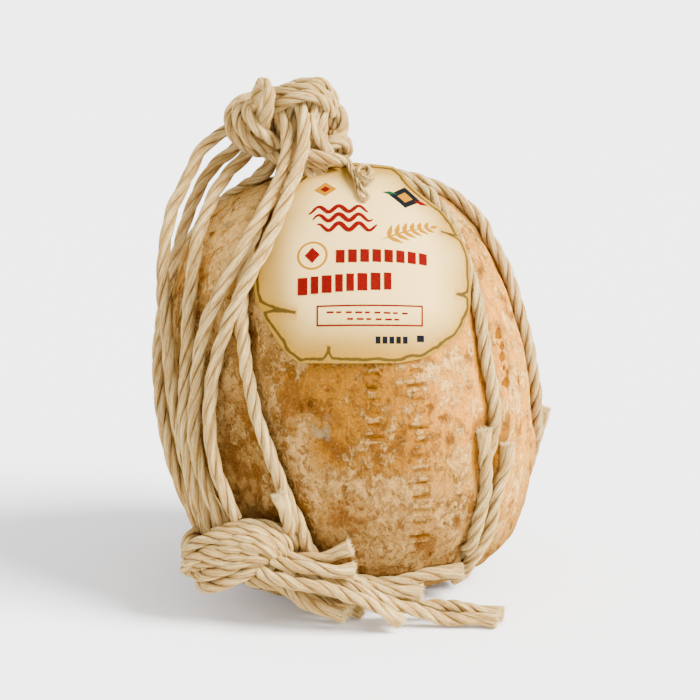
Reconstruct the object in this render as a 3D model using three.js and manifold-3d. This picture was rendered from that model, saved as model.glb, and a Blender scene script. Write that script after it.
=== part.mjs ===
// A whole, uncut provolone cheese, corded for hanging: three rope loops bind it, five sling
// strands run over its left shoulder between a top knot and a bottom knot, and a bent paper tag
// lies on its front.  Millimetres, +Z up; the origin is the middle of the flat resting spot.
// +X is the right-hand side and -Y the front, where the tag is.
import * as THREE from 'three';
import { mergeVertices } from 'three/addons/utils/BufferGeometryUtils.js';
import Module from 'manifold-3d';

const wasm = await Module();
wasm.setup();

// ---------------------------------------------------------------- driving dimensions
const FOOT_RADIUS = 40;         // flat spot that the cheese rests on
const LEAN = 0.045;             // sideways lean of the cheese, mm per mm of height
const ROPE = 6.4;               // diameter of the three-strand rope
const KNOT_ROPE = 5.9;          // the same rope where a knot pulls it tight
const STRING = 3.4;             // thin string of the tag
const GAP = 0.35;               // clearance between pieces that touch
const SUNK = 1.8;               // height of a binding rope's centre over the skin
const SECTION_FULLNESS = 1.05;  // corner radius of a faceted rope over the round one
const ROUND_STEPS = 32;         // facets round the cheese
const RISE_STEPS = 16;          // facets up its profile
const TAG_THICKNESS = 0.9;
const TAG_LIFT = 1.7;           // tag's middle layer over the skin
const TAG_MIDDLE = -6.5;        // x of the tag's line of symmetry of bending
const TAG_BEND = 86;            // radius that the tag is bent to, side to side
const TAG_FLAT_BELOW = 55;      // nearer the crown than this the tag is bent less ...
const TAG_FLATTEN = 1.6;        // ... by this much radius for each mm
// The tag's top edge stands off the crown: by CURL at the reach from the line where it starts.
const TAG_CURL = 4.5;
const TAG_CURL_START = 40;
const TAG_CURL_REACH = 25;
// Its right edge rides over a binding rope: how far, from where across, and around which height.
const TAG_RIDE = 4.4;
const TAG_RIDE_FROM = 38;
const TAG_RIDE_OVER = 20;
const TAG_RIDE_DOWN = 66;
const TAG_RIDE_REACH = 26;
// The cheese swells a little, low down at the right.
const SWELL = 3.3;
const SWELL_AZIMUTH = 88;
const SWELL_WIDTH = 38;         // degrees
const SWELL_HEIGHT = 24;
const SWELL_REACH = 15;

// radius and height of the cheese's profile, from the edge of the flat spot to the crown
const PROFILE = [
  [FOOT_RADIUS, 0], [50, 3], [61, 9.5], [70.5, 18.5], [78.5, 30.5], [84, 45], [87.2, 61],
  [88.4, 78], [88.2, 95], [86.8, 112], [84, 128], [79.6, 144], [72.8, 159.5], [62.5, 173],
  [49, 184], [31, 191], [13, 193.7], [0, 194],
];

// ---------------------------------------------------------------- materials
const finish = (color, roughness) =>
  new THREE.MeshStandardMaterial({ color, roughness, metalness: 0 });
const RIND = finish(0xc79a5e, 0.72);
const CORD = finish(0xdcc69f, 0.95);
const PAPER = finish(0xe3d3ab, 0.85);

// ---------------------------------------------------------------- solids
function solid(geometry) {
  geometry.deleteAttribute('normal');
  geometry.deleteAttribute('uv');
  const merged = mergeVertices(geometry, 1e-4);
  return new wasm.Manifold(new wasm.Mesh({
    numProp: 3,
    vertProperties: new Float32Array(merged.attributes.position.array),
    triVerts: new Uint32Array(merged.index.array),
  }));
}

// The largest connected body of a solid, as a geometry: a cut can leave loose crumbs.
function largestBody(body) {
  const { vertProperties, triVerts } = body.getMesh();
  const parent = Array.from({ length: vertProperties.length / 3 }, (_, i) => i);
  const root = (i) => {
    while (parent[i] !== i) {
      parent[i] = parent[parent[i]];
      i = parent[i];
    }
    return i;
  };
  for (let t = 0; t < triVerts.length; t += 3) {
    parent[root(triVerts[t])] = root(triVerts[t + 1]);
    parent[root(triVerts[t + 1])] = root(triVerts[t + 2]);
  }
  const bodies = new Map();
  for (let t = 0; t < triVerts.length; t += 3) {
    const key = root(triVerts[t]);
    if (!bodies.has(key)) bodies.set(key, []);
    bodies.get(key).push(triVerts[t], triVerts[t + 1], triVerts[t + 2]);
  }
  const index = [...bodies.values()].sort((a, b) => b.length - a.length)[0];
  const geometry = new THREE.BufferGeometry();
  geometry.setAttribute('position', new THREE.BufferAttribute(vertProperties, 3));
  geometry.setIndex(index);
  return geometry;
}

// A round tube along a smooth route through the points.
function tube(points, diameter, step, sides = 8) {
  const route = new THREE.CatmullRomCurve3(
    points.map((p) => new THREE.Vector3(...p)), false, 'catmullrom', 0.5);
  const radius = diameter / 2 * SECTION_FULLNESS;
  const section = new THREE.Shape(Array.from({ length: sides }, (_, i) => new THREE.Vector2(
    radius * Math.cos(2 * Math.PI * i / sides), radius * Math.sin(2 * Math.PI * i / sides))));
  const steps = Math.max(2, Math.round(route.getLength() / step));
  return solid(new THREE.ExtrudeGeometry(section, {
    steps, extrudePath: route, bevelEnabled: false,
  }));
}

function ellipsoid([x, y, z], [a, b, c]) {
  const ball = new THREE.IcosahedronGeometry(1, CORE_DETAIL);
  ball.scale(a, b, c);
  ball.translate(x, y, z);
  return solid(ball);
}

// ---------------------------------------------------------------- the cheese
const profile = new THREE.SplineCurve(PROFILE.map(([r, z]) => new THREE.Vector2(r, z)));
const fine = profile.getPoints(400);

const bell = (distance, reach) => Math.exp(-((distance / reach) ** 2));
const swell = (azimuth, height) => SWELL * bell(azimuth - SWELL_AZIMUTH, SWELL_WIDTH)
  * bell(height - SWELL_HEIGHT, SWELL_REACH);

// The cheese as turned, swollen and leaning, or grown all round by a clearance.
function cheeseBody(grow = 0) {
  const points = [new THREE.Vector2(0, 0), ...profile.getSpacedPoints(RISE_STEPS)];
  points[points.length - 1].x = 0;
  const body = new THREE.LatheGeometry(points, ROUND_STEPS);
  const height = PROFILE[PROFILE.length - 1][1];
  const widest = Math.max(...PROFILE.map(([r]) => r));
  body.translate(0, -height / 2, 0);
  body.scale(1 + grow / widest, 1 + 2 * grow / height, 1 + grow / widest);
  body.translate(0, height / 2, 0);
  body.rotateX(Math.PI / 2);
  const position = body.attributes.position;
  for (let i = 0; i < position.count; i += 1) {
    const [x, y, z] = [position.getX(i), position.getY(i), position.getZ(i)];
    const radius = Math.hypot(x, y);
    const azimuth = THREE.MathUtils.radToDeg(Math.atan2(x, -y));
    const share = radius > 0 ? 1 + swell(azimuth, z) / radius : 1;
    position.setXY(i, x * share - LEAN * z, y * share);
  }
  return solid(body);
}

// A point over the skin: azimuth in degrees from the front towards +X, height, and lift.
function onSkin([azimuth, height, lift]) {
  const i = Math.max(1, fine.findIndex((p) => p.y >= height));
  const [low, high] = [fine[i - 1], fine[i]];
  const along = new THREE.Vector2().subVectors(high, low).normalize();
  const share = (height - low.y) / (high.y - low.y);
  const radius = low.x + share * (high.x - low.x) + swell(azimuth, height) + along.y * lift;
  const a = THREE.MathUtils.degToRad(azimuth);
  return [radius * Math.sin(a) - LEAN * height, -radius * Math.cos(a), height - along.x * lift];
}
const leg = (points, lift = SUNK) =>
  points.map(([azimuth, height, own = lift]) => onSkin([azimuth, height, own]));

// ---------------------------------------------------------------- binding ropes
// Each loop leaves the top knot, runs down one side, crosses under the cheese in a channel
// of the resting spot, and comes up the other side.  The second and third hump over the first.
const UNDER_FRONT_LEFT = [[-18, -60, 9], [-16.5, -46, 4], [-14, -30, 3.5], [-10, -15, 3.5],
  [-6, 0, 3.5], [-3, 16, 3.5], [4, 31, 3.5], [15, 42, 3.7], [24, 50, 5]];
const UNDER_FRONT_RIGHT = [[50, -34, 8], [42, -21, 3.7], [34, -17, 3.5], [20, -14.5, 3.5],
  [6, -11, 5.5], [-7, -8, 10.2], [-20, -5, 5.5], [-34, -2, 3.5], [-46, -1, 4]];
const UNDER_RIGHT = [[55, 9, 8], [46, 12, 4.2], [37, 15, 3.5], [24, 20, 3.5], [11, 26, 6],
  [-2, 32, 10.2], [-14, 38, 5.5], [-21, 46, 4.5]];
const BINDING = {
  binding_front_left: [
    [-34, -5, 203], [-34.5, -12, 198],
    ...leg([[-44, 186.3], [-39.8, 181.9], [-38.1, 176.8], [-37.3, 170.8], [-36.6, 164],
      [-35.1, 150.9, 1.2], [-33.4, 137.4, 1.2], [-31.4, 124.7], [-29.8, 113], [-27, 96], [-24, 83],
      [-21.5, 70], [-19, 58], [-16.5, 48], [-15, 38], [-13.5, 31]]),
    ...UNDER_FRONT_LEFT,
    ...leg([[153, 14], [151, 30], [149, 55], [147, 85], [146, 115], [147, 140], [150, 160],
      [158, 177], [178, 188.5]]),
    [-19, 17, 196], [-24, 8, 202],
  ],
  binding_front_right: [
    [-20, -11, 201], [-10, -12, 196.9], [4, -12, 195], [18, -13.5, 193], [28, -17.5, 189.6],
    ...leg([[62, 185.6, 2], [57.5, 182], [55.1, 177.8, 1.4], [52.6, 171.8, 1.2],
      [50.7, 167.6, 1.2], [49.3, 163.6, 1.2], [48.3, 156.6, 1.3], [47.7, 151.5, 1.5],
      [47.3, 145.5], [46.6, 133.5], [45.9, 121], [46.3, 110], [46.9, 98], [46.8, 90],
      [46, 80, 0.4], [45, 68, -2.2], [44.4, 56, -3.2], [44.2, 43, -3.2], [43.8, 31, -3.2],
      [45.5, 20, -2.6]]),
    ...UNDER_FRONT_RIGHT,
    ...leg([[-92, 9], [-94, 24], [-97, 45], [-99, 75], [-100, 105], [-101, 135], [-102, 158],
      [-103, 175]]),
    [-45, 2, 193], [-40, 1, 201],
  ],
  binding_right: [
    [-20, -3, 202], [-9, -4.3, 198], [8, -5.2, 195.6], [24, -7, 193], [38, -9.3, 188.4],
    [49, -12, 181.8], [57.5, -14.5, 173.6],
    ...leg([[76, 165], [75, 157], [74.5, 148], [74, 126], [75, 110], [77, 96],
      [79.5, 84, 1.4], [84, 73, 1], [90, 62, 0.8], [96, 51, 0.8], [102, 40, 0.8],
      [105, 30, 0.8], [104, 20, 0.8]]),
    ...UNDER_RIGHT,
    ...leg([[-158, 10], [-157, 24], [-155, 45], [-151, 75], [-146, 105], [-138, 135],
      [-128, 158], [-119, 175]]),
    [-47, 12, 192], [-41, 9, 199],
  ],
};

// Cut ends that stand up beside the binding ropes, and the end tucked in over the first one.
const TUCKED = {
  upright_end_front_a: leg([[41.6, 86.2], [41.6, 79.7], [41.8, 72.6], [42.1, 65.3], [42.2, 58.6],
    [41.5, 51.9], [41, 46.1], [40.5, 40.2], [40.2, 33.5], [40.3, 28.5, 1.2]], 2.8),
  upright_end_front_b: leg([[51.5, 76.7], [50.8, 70.8], [49.8, 65.4], [48.6, 60.9], [47.7, 56.9],
    [47, 50.8], [46.8, 44.4], [46.6, 38.3], [45.3, 31.8], [43.4, 26.5], [43, 21.2],
    [44, 15, 2.8], [45.2, 10.5, 2]], 3.3),
  upright_end_right: leg([[92, 79, 4.9], [92.5, 73.5, 4.4], [94, 67.5, 3.4], [96.5, 61, 2.4],
    [99.5, 55, 1.4], [103, 49, 0.4]]),
  tucked_end: [[-35, -89.5, 62], [-33, -89, 56.5], [-31.5, -87.5, 49.5], [-31, -82, 43]],
  under_run: [[-57, -64, 18.5], [-49, -62, 13.5], [-40.5, -60, 10], [-31, -59, 7],
    [-22, -57, 4]],
};

// ---------------------------------------------------------------- sling strands
const SLING = {
  sling_left_a: [
    [-59.5, 2, 215.5], [-67, -2, 211.5], [-74, -7, 205], [-80, -13, 193], [-86.5, -19, 178.5],
    [-90, -25, 161.5], [-90.5, -30, 145], [-89, -34, 131.5], [-87.5, -39, 118],
    [-86, -44, 104.5], [-84, -49, 91.5], [-81, -53, 78], [-78, -57, 65], [-74.5, -60, 51.5],
    [-70, -63, 40], [-66, -65, 33],
  ],
  sling_left_b: [
    [-53, 12, 210.5], [-60.5, 10, 203], [-68.5, 6, 196.5], [-75.5, 1, 186], [-81, -5, 172.5],
    [-85, -10, 159], [-88.5, -15, 145.5], [-91.5, -19, 131.5], [-93, -23, 118.5],
    [-93.5, -28, 105.5], [-92, -35, 92.5], [-89.5, -43, 80.5], [-86, -49, 68], [-81, -54, 55],
    [-75.5, -58, 44], [-70.5, -60, 34.5],
  ],
  sling_left_c: [
    [-46.5, 4, 208.5], [-53, 1, 202], [-60.5, -7, 195], [-67, -16, 186], [-71.5, -26, 175],
    [-74.5, -35, 163.5], [-76, -43, 150.5], [-77, -49, 138], [-77.5, -53, 125],
    [-78.5, -56, 111.5], [-79, -58, 98], [-79, -60, 84.5], [-77, -63, 71], [-73.5, -66, 57.5],
    [-68.5, -69.5, 45.5], [-63, -71, 35],
  ],
  sling_front_a: [
    [-37, -14, 224], [-34, -20, 220], [-32.5, -24, 215], [-32.5, -29, 209], [-34, -36, 202],
    [-37, -44, 193.5], [-43, -56, 183], [-50.5, -62.5, 171], [-57.5, -66.5, 157.5],
    [-64, -67, 144.5], [-69, -64.5, 131.5], [-72, -63, 118], [-73.5, -63, 104],
    [-74.5, -64.5, 90.5], [-73, -68.5, 77.5], [-69.5, -73, 64.5], [-64.5, -77, 53.5],
    [-59, -77, 43],
  ],
  sling_front_b: [
    [-27, -16, 228.5], [-25.5, -22, 224.5], [-25, -27, 218.5], [-25, -33, 211],
    [-27, -40, 203], [-30, -48, 195], [-35, -59.5, 183], [-41.5, -68.5, 169.5],
    [-48.5, -73, 157], [-54.5, -74, 144.5], [-59.5, -71.5, 132], [-63.5, -69, 120],
    [-66, -69.5, 107.5], [-67, -70.5, 95.5], [-66.5, -73, 84.5], [-64, -78, 72],
    [-59.5, -83, 61], [-55, -81, 49],
  ],
};

// ---------------------------------------------------------------- rope ends at the foot
const SHORT_ENDS = {
  short_end_a: [[-33.5, -84.5, 32], [-27.5, -85.5, 31.5], [-21, -86.5, 32], [-14.5, -87, 32.5],
    [-9, -87, 35], [-4, -87, 37]],
  short_end_b: [[-38, -90, 32], [-33.5, -92, 31.5], [-28, -94, 30.5], [-21, -95, 30.5],
    [-14.5, -95.5, 29.5], [-8.5, -95, 29], [-2.5, -94, 29]],
  short_end_c: [[-31, -73, 15], [-24.5, -75, 13.5], [-18.5, -77, 11], [-13, -78.5, 9.5],
    [-8.5, -80.5, 8], [-3.5, -81.5, 6.5]],
  short_end_d: [[-25, -68.5, 10], [-17.5, -70, 8.5], [-10, -72, 6.5], [-4, -74, 5],
    [1.5, -76, 4]],
};
const FREE_ENDS = {
  free_end_a: [[-33.5, -83.5, 25], [-26.5, -84, 24.5], [-18, -84.5, 24], [-9.5, -84.5, 22.5],
    [-3, -85, 20.5], [4, -84.5, 18], [9.5, -84.5, 16.5], [17.5, -84.5, 16], [23.5, -84.5, 16],
    [28, -84.5, 15.5]],
  free_end_b: [[-31, -72.5, 22], [-24, -75.5, 21], [-16.5, -78, 21], [-8.5, -77, 19.5],
    [0, -75, 18], [11, -73, 16], [22, -70, 16.5], [34, -66.5, 18.5], [47, -63, 18.5]],
  free_end_c: [[-44, -91, 27.5], [-39, -93.5, 26], [-33.5, -95.5, 25], [-26.5, -97, 23.5],
    [-19, -98, 23], [-12, -98.5, 21.5], [-5, -98.5, 18.5], [0.5, -98.5, 17], [6, -98, 14.5],
    [11.5, -97, 11], [15.5, -95, 7.5], [18, -93.5, 5.5]],
  free_end_d: [[-28, -90, 25], [-22.5, -91, 25], [-16.5, -91.5, 24.5], [-7.5, -91.5, 21.5],
    [1.5, -92, 18.5], [8.5, -91.5, 15.5], [15, -90, 12], [21.5, -88.5, 9.5], [29.5, -87.5, 7],
    [38, -87, 4], [46, -87.5, 4], [54, -87.5, 4], [61.5, -88, 3.5]],
  free_end_e: [[-27.5, -81, 19.5], [-19, -82.5, 17], [-10, -82.5, 15], [-1, -81.5, 13],
    [9, -80.5, 11], [19, -79.5, 9], [28, -79.5, 7.5], [37, -79.5, 7.5], [45, -80, 7],
    [53, -80.5, 5.5], [65, -81, 4]],
  free_end_f: [[-50, -78, 19.5], [-43.5, -80.5, 19], [-39, -82.5, 19], [-35, -84.5, 18.5],
    [-31.5, -86, 17], [-28, -87.5, 14.5], [-23, -88.5, 11.5], [-17, -89.5, 9.5], [-11, -90, 8],
    [-6.5, -91, 7]],
};

// ---------------------------------------------------------------- knots
const TOP_KNOT = {
  left_outer: [[-44, 2, 203.5], [-50.5, -4, 206], [-56.5, -8, 211], [-59.5, -7, 216.5],
    [-59.5, -1, 223.5], [-54.5, 6, 228], [-49.5, 12, 229]],
  left_middle: [[-37.5, -6, 205.5], [-44.5, -13, 208], [-51.5, -17, 213], [-55.5, -16, 220],
    [-55.5, -10, 226], [-51.5, -2, 229]],
  left_inner: [[-37, -14, 210], [-42.5, -20, 214], [-48, -22, 219.5], [-51, -18, 225],
    [-49, -10, 228.5]],
  bight: [[-46, -9, 219], [-47, -12, 228], [-46, -13, 234.5], [-44, -16, 238],
    [-41.5, -21, 235.5], [-41, -24, 230], [-42, -24, 224], [-43.5, -20, 218.5]],
  band_lower: [[-41.5, -14, 224], [-36, -18, 228], [-30.5, -21, 231], [-24.5, -22, 232.5],
    [-19, -20, 231.5], [-15, -16, 228], [-12.5, -12, 223]],
  band_middle: [[-43, -6, 228.5], [-36, -12, 232], [-29, -15, 234.5], [-22.5, -16, 235.5],
    [-17.5, -14, 233.5], [-13.5, -10, 230], [-11, -6, 224]],
  band_upper: [[-44.5, 6, 230.5], [-36.5, 2, 233], [-28, -1, 235], [-20.5, -3, 237],
    [-16, -2, 236], [-12.5, 0, 231.5], [-11, 2, 225.5], [-9.5, 3, 219], [-9.5, 2, 213]],
  fall_left: [[-31, -12, 230.5], [-32, -14, 224.5], [-30.5, -17, 217.5], [-29.5, -20, 209.5],
    [-29.5, -22, 203]],
  fall_middle: [[-21.5, -13, 230], [-20.5, -17, 223.5], [-21.5, -19, 216], [-22, -20, 208]],
  slant: [[-23, -22, 223.5], [-20, -25, 217.5], [-16.5, -25, 211.5], [-13.5, -22, 206]],
  right_lower: [[-16, -18, 208.5], [-10.5, -17, 210.5], [-6.5, -13, 209.5], [-5, -9, 206],
    [-7.5, -9, 203.5], [-12.5, -12, 203.5]],
  collar_upper: [[-25.5, -26, 207], [-18.5, -26, 205.5], [-11.5, -24, 204], [-7, -20, 202]],
  collar_lower: [[-25.5, -22, 203], [-20, -23, 202], [-14, -22, 200.5]],
};
// The turns that also show on the back of the top knot, mirrored about the knot's middle.
const TOP_KNOT_BACK = ['left_middle', 'band_lower', 'fall_middle', 'right_lower',
  'collar_lower'];
const TOP_KNOT_MIDDLE = -1;
const TOP_KNOT_CORE = [
  [[-32, -1, 219], [22, 15, 15]],
  [[-17, -1, 209], [11, 17, 10]],
  [[-49, -2, 218], [9, 13, 12]],
];
const BOTTOM_KNOT = {
  back_upper: [[-70, -58, 35], [-74, -64, 37.5], [-77.5, -69, 35.5], [-78, -74, 32]],
  turn_1: [[-65, -80, 41.5], [-56.5, -84, 45.5], [-48.5, -85.5, 47.5], [-40.5, -85, 46.8],
    [-33.5, -83, 43.5], [-28.5, -80, 38.5], [-26.5, -76, 32.5]],
  turn_2: [[-74, -66, 27], [-77.5, -75, 30], [-75, -82, 36], [-69, -85.5, 40.6],
    [-61, -88, 43.2], [-52.5, -89, 45], [-44.5, -90, 45.5], [-38, -88.5, 43.5],
    [-33, -85.5, 39.5], [-31, -80, 34]],
  turn_3: [[-69, -85, 34.5], [-61, -89, 39], [-52.5, -91.5, 42], [-45, -92, 43],
    [-38.5, -91.5, 41], [-34, -88, 36.5], [-33.5, -82, 31]],
  turn_4: [[-73.5, -66, 19], [-78, -74, 23], [-76, -82, 29], [-70, -86, 33.5],
    [-61, -90, 36.5], [-51.5, -92, 39.5], [-43.5, -93, 39.5], [-37.5, -91, 36.5],
    [-36, -86, 31.5]],
  turn_6: [[-70, -69, 18], [-73, -77, 21.5], [-68.5, -86, 24], [-59, -90, 28.2],
    [-52, -92, 32.2], [-44.5, -92, 34.5], [-39, -89, 33]],
  turn_7: [[-68, -69, 17], [-71, -76, 17.5], [-68.5, -83, 17.5], [-62.5, -87, 19.6],
    [-55.5, -90, 23.2], [-49, -91, 27], [-43.5, -89, 30], [-40, -85, 29.5]],
  back_1: [[-76, -70, 33], [-68, -63, 33], [-58, -62, 36], [-47, -66, 38], [-38, -73, 37]],
  back_3: [[-70, -70, 18], [-62, -66, 18.5], [-53, -67, 21], [-45, -71, 23], [-39, -77, 26]],
};
const BOTTOM_KNOT_CORE = [
  [[-60, -76, 30], [15, 13, 11]],
  [[-46, -79, 34], [13, 11, 10]],
];

const KNOT_STEP = 11;           // facet length and sides of the tight turns
const KNOT_SIDES = 6;
const CORE_DETAIL = 1;

function knot(turns, cores) {
  const parts = [
    ...turns.map((points) => tube(points, KNOT_ROPE, KNOT_STEP, KNOT_SIDES)),
    ...cores.map(([middle, radii]) => ellipsoid(middle, radii)),
  ];
  return parts.reduce((whole, part) => whole.add(part));
}
const mirrored = (points) => points.map(([x, y, z]) => [x, 2 * TOP_KNOT_MIDDLE - y, z]);

// ---------------------------------------------------------------- tag
// Left and right edge of the tag, as distance across from its bending line, for each distance
// down from the crown measured along the skin.
const TAG_EDGES = [
  [13, 3, 23], [16, -8, 26], [19, -16, 28], [24, -20.5, 30.5], [31, -25, 35.5],
  [40, -28.5, 45.5], [50, -31.5, 52], [60, -35, 58.5], [70, -38, 61.5], [80, -41, 62],
  [91, -41.5, 62], [98.5, -39.5, 61.5], [105, -36.5, 59], [112, -32.5, 55.2],
  [119, -27.5, 45], [123, -23.5, 37.5], [125.5, -19.5, 25],
];
const TAG_COLUMNS = 6;

const crownDown = new THREE.SplineCurve([...PROFILE].reverse()
  .map(([r, z]) => new THREE.Vector2(r, z)));
const crownLength = crownDown.getLength();

// A point of the tag: across and down in its own sheet, and lifted off the skin.
function onTag(across, down, lift) {
  const at = crownDown.getPointAt(down / crownLength);
  const along = crownDown.getTangentAt(down / crownLength);
  const bend = TAG_BEND + TAG_FLATTEN * Math.max(0, TAG_FLAT_BELOW - down);
  const curl = TAG_CURL * (Math.max(0, TAG_CURL_START - down) / TAG_CURL_REACH) ** 2;
  const ride = TAG_RIDE * bell(down - TAG_RIDE_DOWN, TAG_RIDE_REACH)
    * THREE.MathUtils.smoothstep(across, TAG_RIDE_FROM, TAG_RIDE_FROM + TAG_RIDE_OVER);
  const rise = bend * (Math.cos(across / bend) - 1) + lift + curl + ride;
  return [TAG_MIDDLE + bend * Math.sin(across / bend), -(at.x - along.y * rise),
    at.y + along.x * rise];
}

function tagBody() {
  const columns = TAG_COLUMNS + 1;
  const position = [];
  for (const lift of [TAG_LIFT - TAG_THICKNESS / 2, TAG_LIFT + TAG_THICKNESS / 2]) {
    for (const [down, left, right] of TAG_EDGES) {
      for (let c = 0; c < columns; c += 1) {
        position.push(...onTag(left + (right - left) * c / TAG_COLUMNS, down, lift));
      }
    }
  }
  const rows = TAG_EDGES.length;
  const at = (side, row, column) => (side * rows + row) * columns + column;
  const index = [];
  const quad = (a, b, c, d) => index.push(a, b, c, a, c, d);
  for (let r = 0; r + 1 < rows; r += 1) {
    for (let c = 0; c < TAG_COLUMNS; c += 1) {
      quad(at(1, r, c), at(1, r + 1, c), at(1, r + 1, c + 1), at(1, r, c + 1));
      quad(at(0, r, c), at(0, r, c + 1), at(0, r + 1, c + 1), at(0, r + 1, c));
    }
    quad(at(1, r, 0), at(0, r, 0), at(0, r + 1, 0), at(1, r + 1, 0));
    quad(at(1, r, TAG_COLUMNS), at(1, r + 1, TAG_COLUMNS), at(0, r + 1, TAG_COLUMNS),
      at(0, r, TAG_COLUMNS));
  }
  for (let c = 0; c < TAG_COLUMNS; c += 1) {
    quad(at(1, 0, c), at(1, 0, c + 1), at(0, 0, c + 1), at(0, 0, c));
    quad(at(1, rows - 1, c), at(0, rows - 1, c), at(0, rows - 1, c + 1),
      at(1, rows - 1, c + 1));
  }
  const geometry = new THREE.BufferGeometry();
  geometry.setAttribute('position', new THREE.Float32BufferAttribute(position, 3));
  geometry.setIndex(index);
  return solid(geometry);
}

// The string's free end lies on the tag below the knot; a small hitch sits beside it.
const STRING_LIFT = TAG_LIFT + TAG_THICKNESS / 2 + GAP + STRING / 2;
const STRING_ROUTE = [[1.2, 14.8], [2.8, 19.8], [4, 26.8], [6, 35.5], [7.8, 42.5], [9.5, 47]]
  .map(([across, down]) => onTag(across, down, STRING_LIFT));
const STRING_STEP = 5;
const HITCH_LIFT = 2.7;
const HITCH_MIDDLE = onTag(8.5, 29.5, STRING_LIFT + HITCH_LIFT);
const HITCH_RADII = [4.2, 3.6, 4.2];

// ---------------------------------------------------------------- assembly
const object = new THREE.Group();
function place(name, body, material) {
  const mesh = new THREE.Mesh(largestBody(body), material.clone());
  mesh.name = name;
  object.add(mesh);
}

const LONG_STEP = 20;           // facet length of a long, gently bent rope
const SHORT_STEP = 16;          // facet length of a short rope end
const ropes = [
  ...Object.entries(SLING).map(([name, points]) => [name, points, LONG_STEP]),
  ...Object.entries(BINDING).map(([name, points]) => [name, points, LONG_STEP]),
  ...Object.entries(TUCKED).map(([name, points]) => [name, points, SHORT_STEP]),
  ...Object.entries(FREE_ENDS).map(([name, points]) => [name, points, SHORT_STEP]),
  ...Object.entries(SHORT_ENDS).map(([name, points]) => [name, points, SHORT_STEP]),
];
const clearances = [];
for (const [name, points, step] of ropes) {
  const body = clearances.reduce((left, other) => left.subtract(other),
    tube(points, ROPE, step));
  place(name, body, CORD);
  clearances.push(tube(points, ROPE + 2 * GAP, step));
}
const roped = clearances.reduce((whole, part) => whole.add(part));

const topTurns = [...Object.values(TOP_KNOT),
  ...TOP_KNOT_BACK.map((name) => mirrored(TOP_KNOT[name]))];
const occupied = roped.add(cheeseBody(2 * GAP));
place('top_knot', knot(topTurns, TOP_KNOT_CORE).subtract(occupied), CORD);
place('bottom_knot', knot(Object.values(BOTTOM_KNOT), BOTTOM_KNOT_CORE).subtract(occupied),
  CORD);

const string = tube(STRING_ROUTE, STRING, STRING_STEP)
  .add(ellipsoid(HITCH_MIDDLE, HITCH_RADII));
place('tag_string', string.subtract(roped), CORD);
place('tag', tagBody().subtract(roped), PAPER);

// Under the cheese each rope's channel is open downwards.
const CHANNEL_DROPS = [4, 8];
const channels = CHANNEL_DROPS.flatMap((drop) =>
  [UNDER_FRONT_LEFT, UNDER_FRONT_RIGHT, UNDER_RIGHT].map((points) =>
    tube(points.map(([x, y, z]) => [x, y, z - drop]), ROPE + 2 * GAP, LONG_STEP)));
const bound = cheeseBody().subtract(roped);
place('cheese', channels.reduce((left, channel) => left.subtract(channel), bound), RIND);

export default object;
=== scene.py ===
"""Dresses the corded provolone: its rind, the laid rope, the knots, the paper tag and its string.

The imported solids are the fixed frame. Every piece is a surface worked out with numpy on a grid,
in metres, +Z up, -Y the front, with the origin in the middle of the spot that the cheese rests on.
Routes and sizes are written in millimetres and turned into metres by MM.
"""

from __future__ import annotations

import logging
import math
from collections.abc import Sequence
from dataclasses import dataclass, field
from enum import Enum

import bpy
import numpy as np
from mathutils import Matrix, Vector
from numpy.typing import NDArray

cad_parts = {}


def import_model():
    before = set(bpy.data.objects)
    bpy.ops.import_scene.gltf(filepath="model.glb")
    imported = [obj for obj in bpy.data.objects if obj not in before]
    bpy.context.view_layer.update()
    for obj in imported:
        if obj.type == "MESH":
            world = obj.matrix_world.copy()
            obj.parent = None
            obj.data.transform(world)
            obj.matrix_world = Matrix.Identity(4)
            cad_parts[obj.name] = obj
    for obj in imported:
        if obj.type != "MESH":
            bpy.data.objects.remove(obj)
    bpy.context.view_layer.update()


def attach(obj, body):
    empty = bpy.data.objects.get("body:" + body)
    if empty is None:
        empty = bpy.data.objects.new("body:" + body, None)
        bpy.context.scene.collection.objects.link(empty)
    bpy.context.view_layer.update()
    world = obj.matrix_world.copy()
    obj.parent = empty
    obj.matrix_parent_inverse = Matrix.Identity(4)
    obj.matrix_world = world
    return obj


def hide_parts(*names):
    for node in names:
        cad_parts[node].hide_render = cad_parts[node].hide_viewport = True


Array = NDArray[np.float64]
Faces = NDArray[np.int64]
Route = Sequence[Sequence[float]]
Spot = tuple[float, float]
Colour = tuple[int, int, int]
Socket = bpy.types.NodeSocket
Material = bpy.types.Material
Feed = Socket | float | tuple[float, ...]

MM = 0.001
BODY = "root"
LOG = logging.getLogger("provolone")

LEAN = 0.045  # sideways lean of the cheese, metre per metre of height
ROPE = 6.4 * MM
KNOT_ROPE = 5.9 * MM
STRING = 1.9 * MM
SUNK = 1.8  # height of a binding rope's centre over the skin, mm
FAR = 99.0  # mm; stands for a rope that isn't near

# radius and height of the cheese's profile, mm, from the edge of the flat spot to the crown
PROFILE = (
    (40, 0), (50, 3), (61, 9.5), (70.5, 18.5), (78.5, 30.5), (84, 45), (87.2, 61), (88.4, 78),
    (88.2, 95), (86.8, 112), (84, 128), (79.6, 144), (72.8, 159.5), (62.5, 173), (49, 184),
    (31, 191), (13, 193.7), (0, 194),
)


def swell(azimuth: Array | float, height: Array | float) -> Array | float:
    """How far the cheese bulges low down at the right, in mm: 3.3 times a bell 38 degrees wide
    round it and a bell 15 mm high."""
    around = (np.asarray(azimuth) - 88) / 38
    upward = (np.asarray(height) - 24) / 15
    return 3.3 * np.exp(-(around**2) - upward**2)


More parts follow.
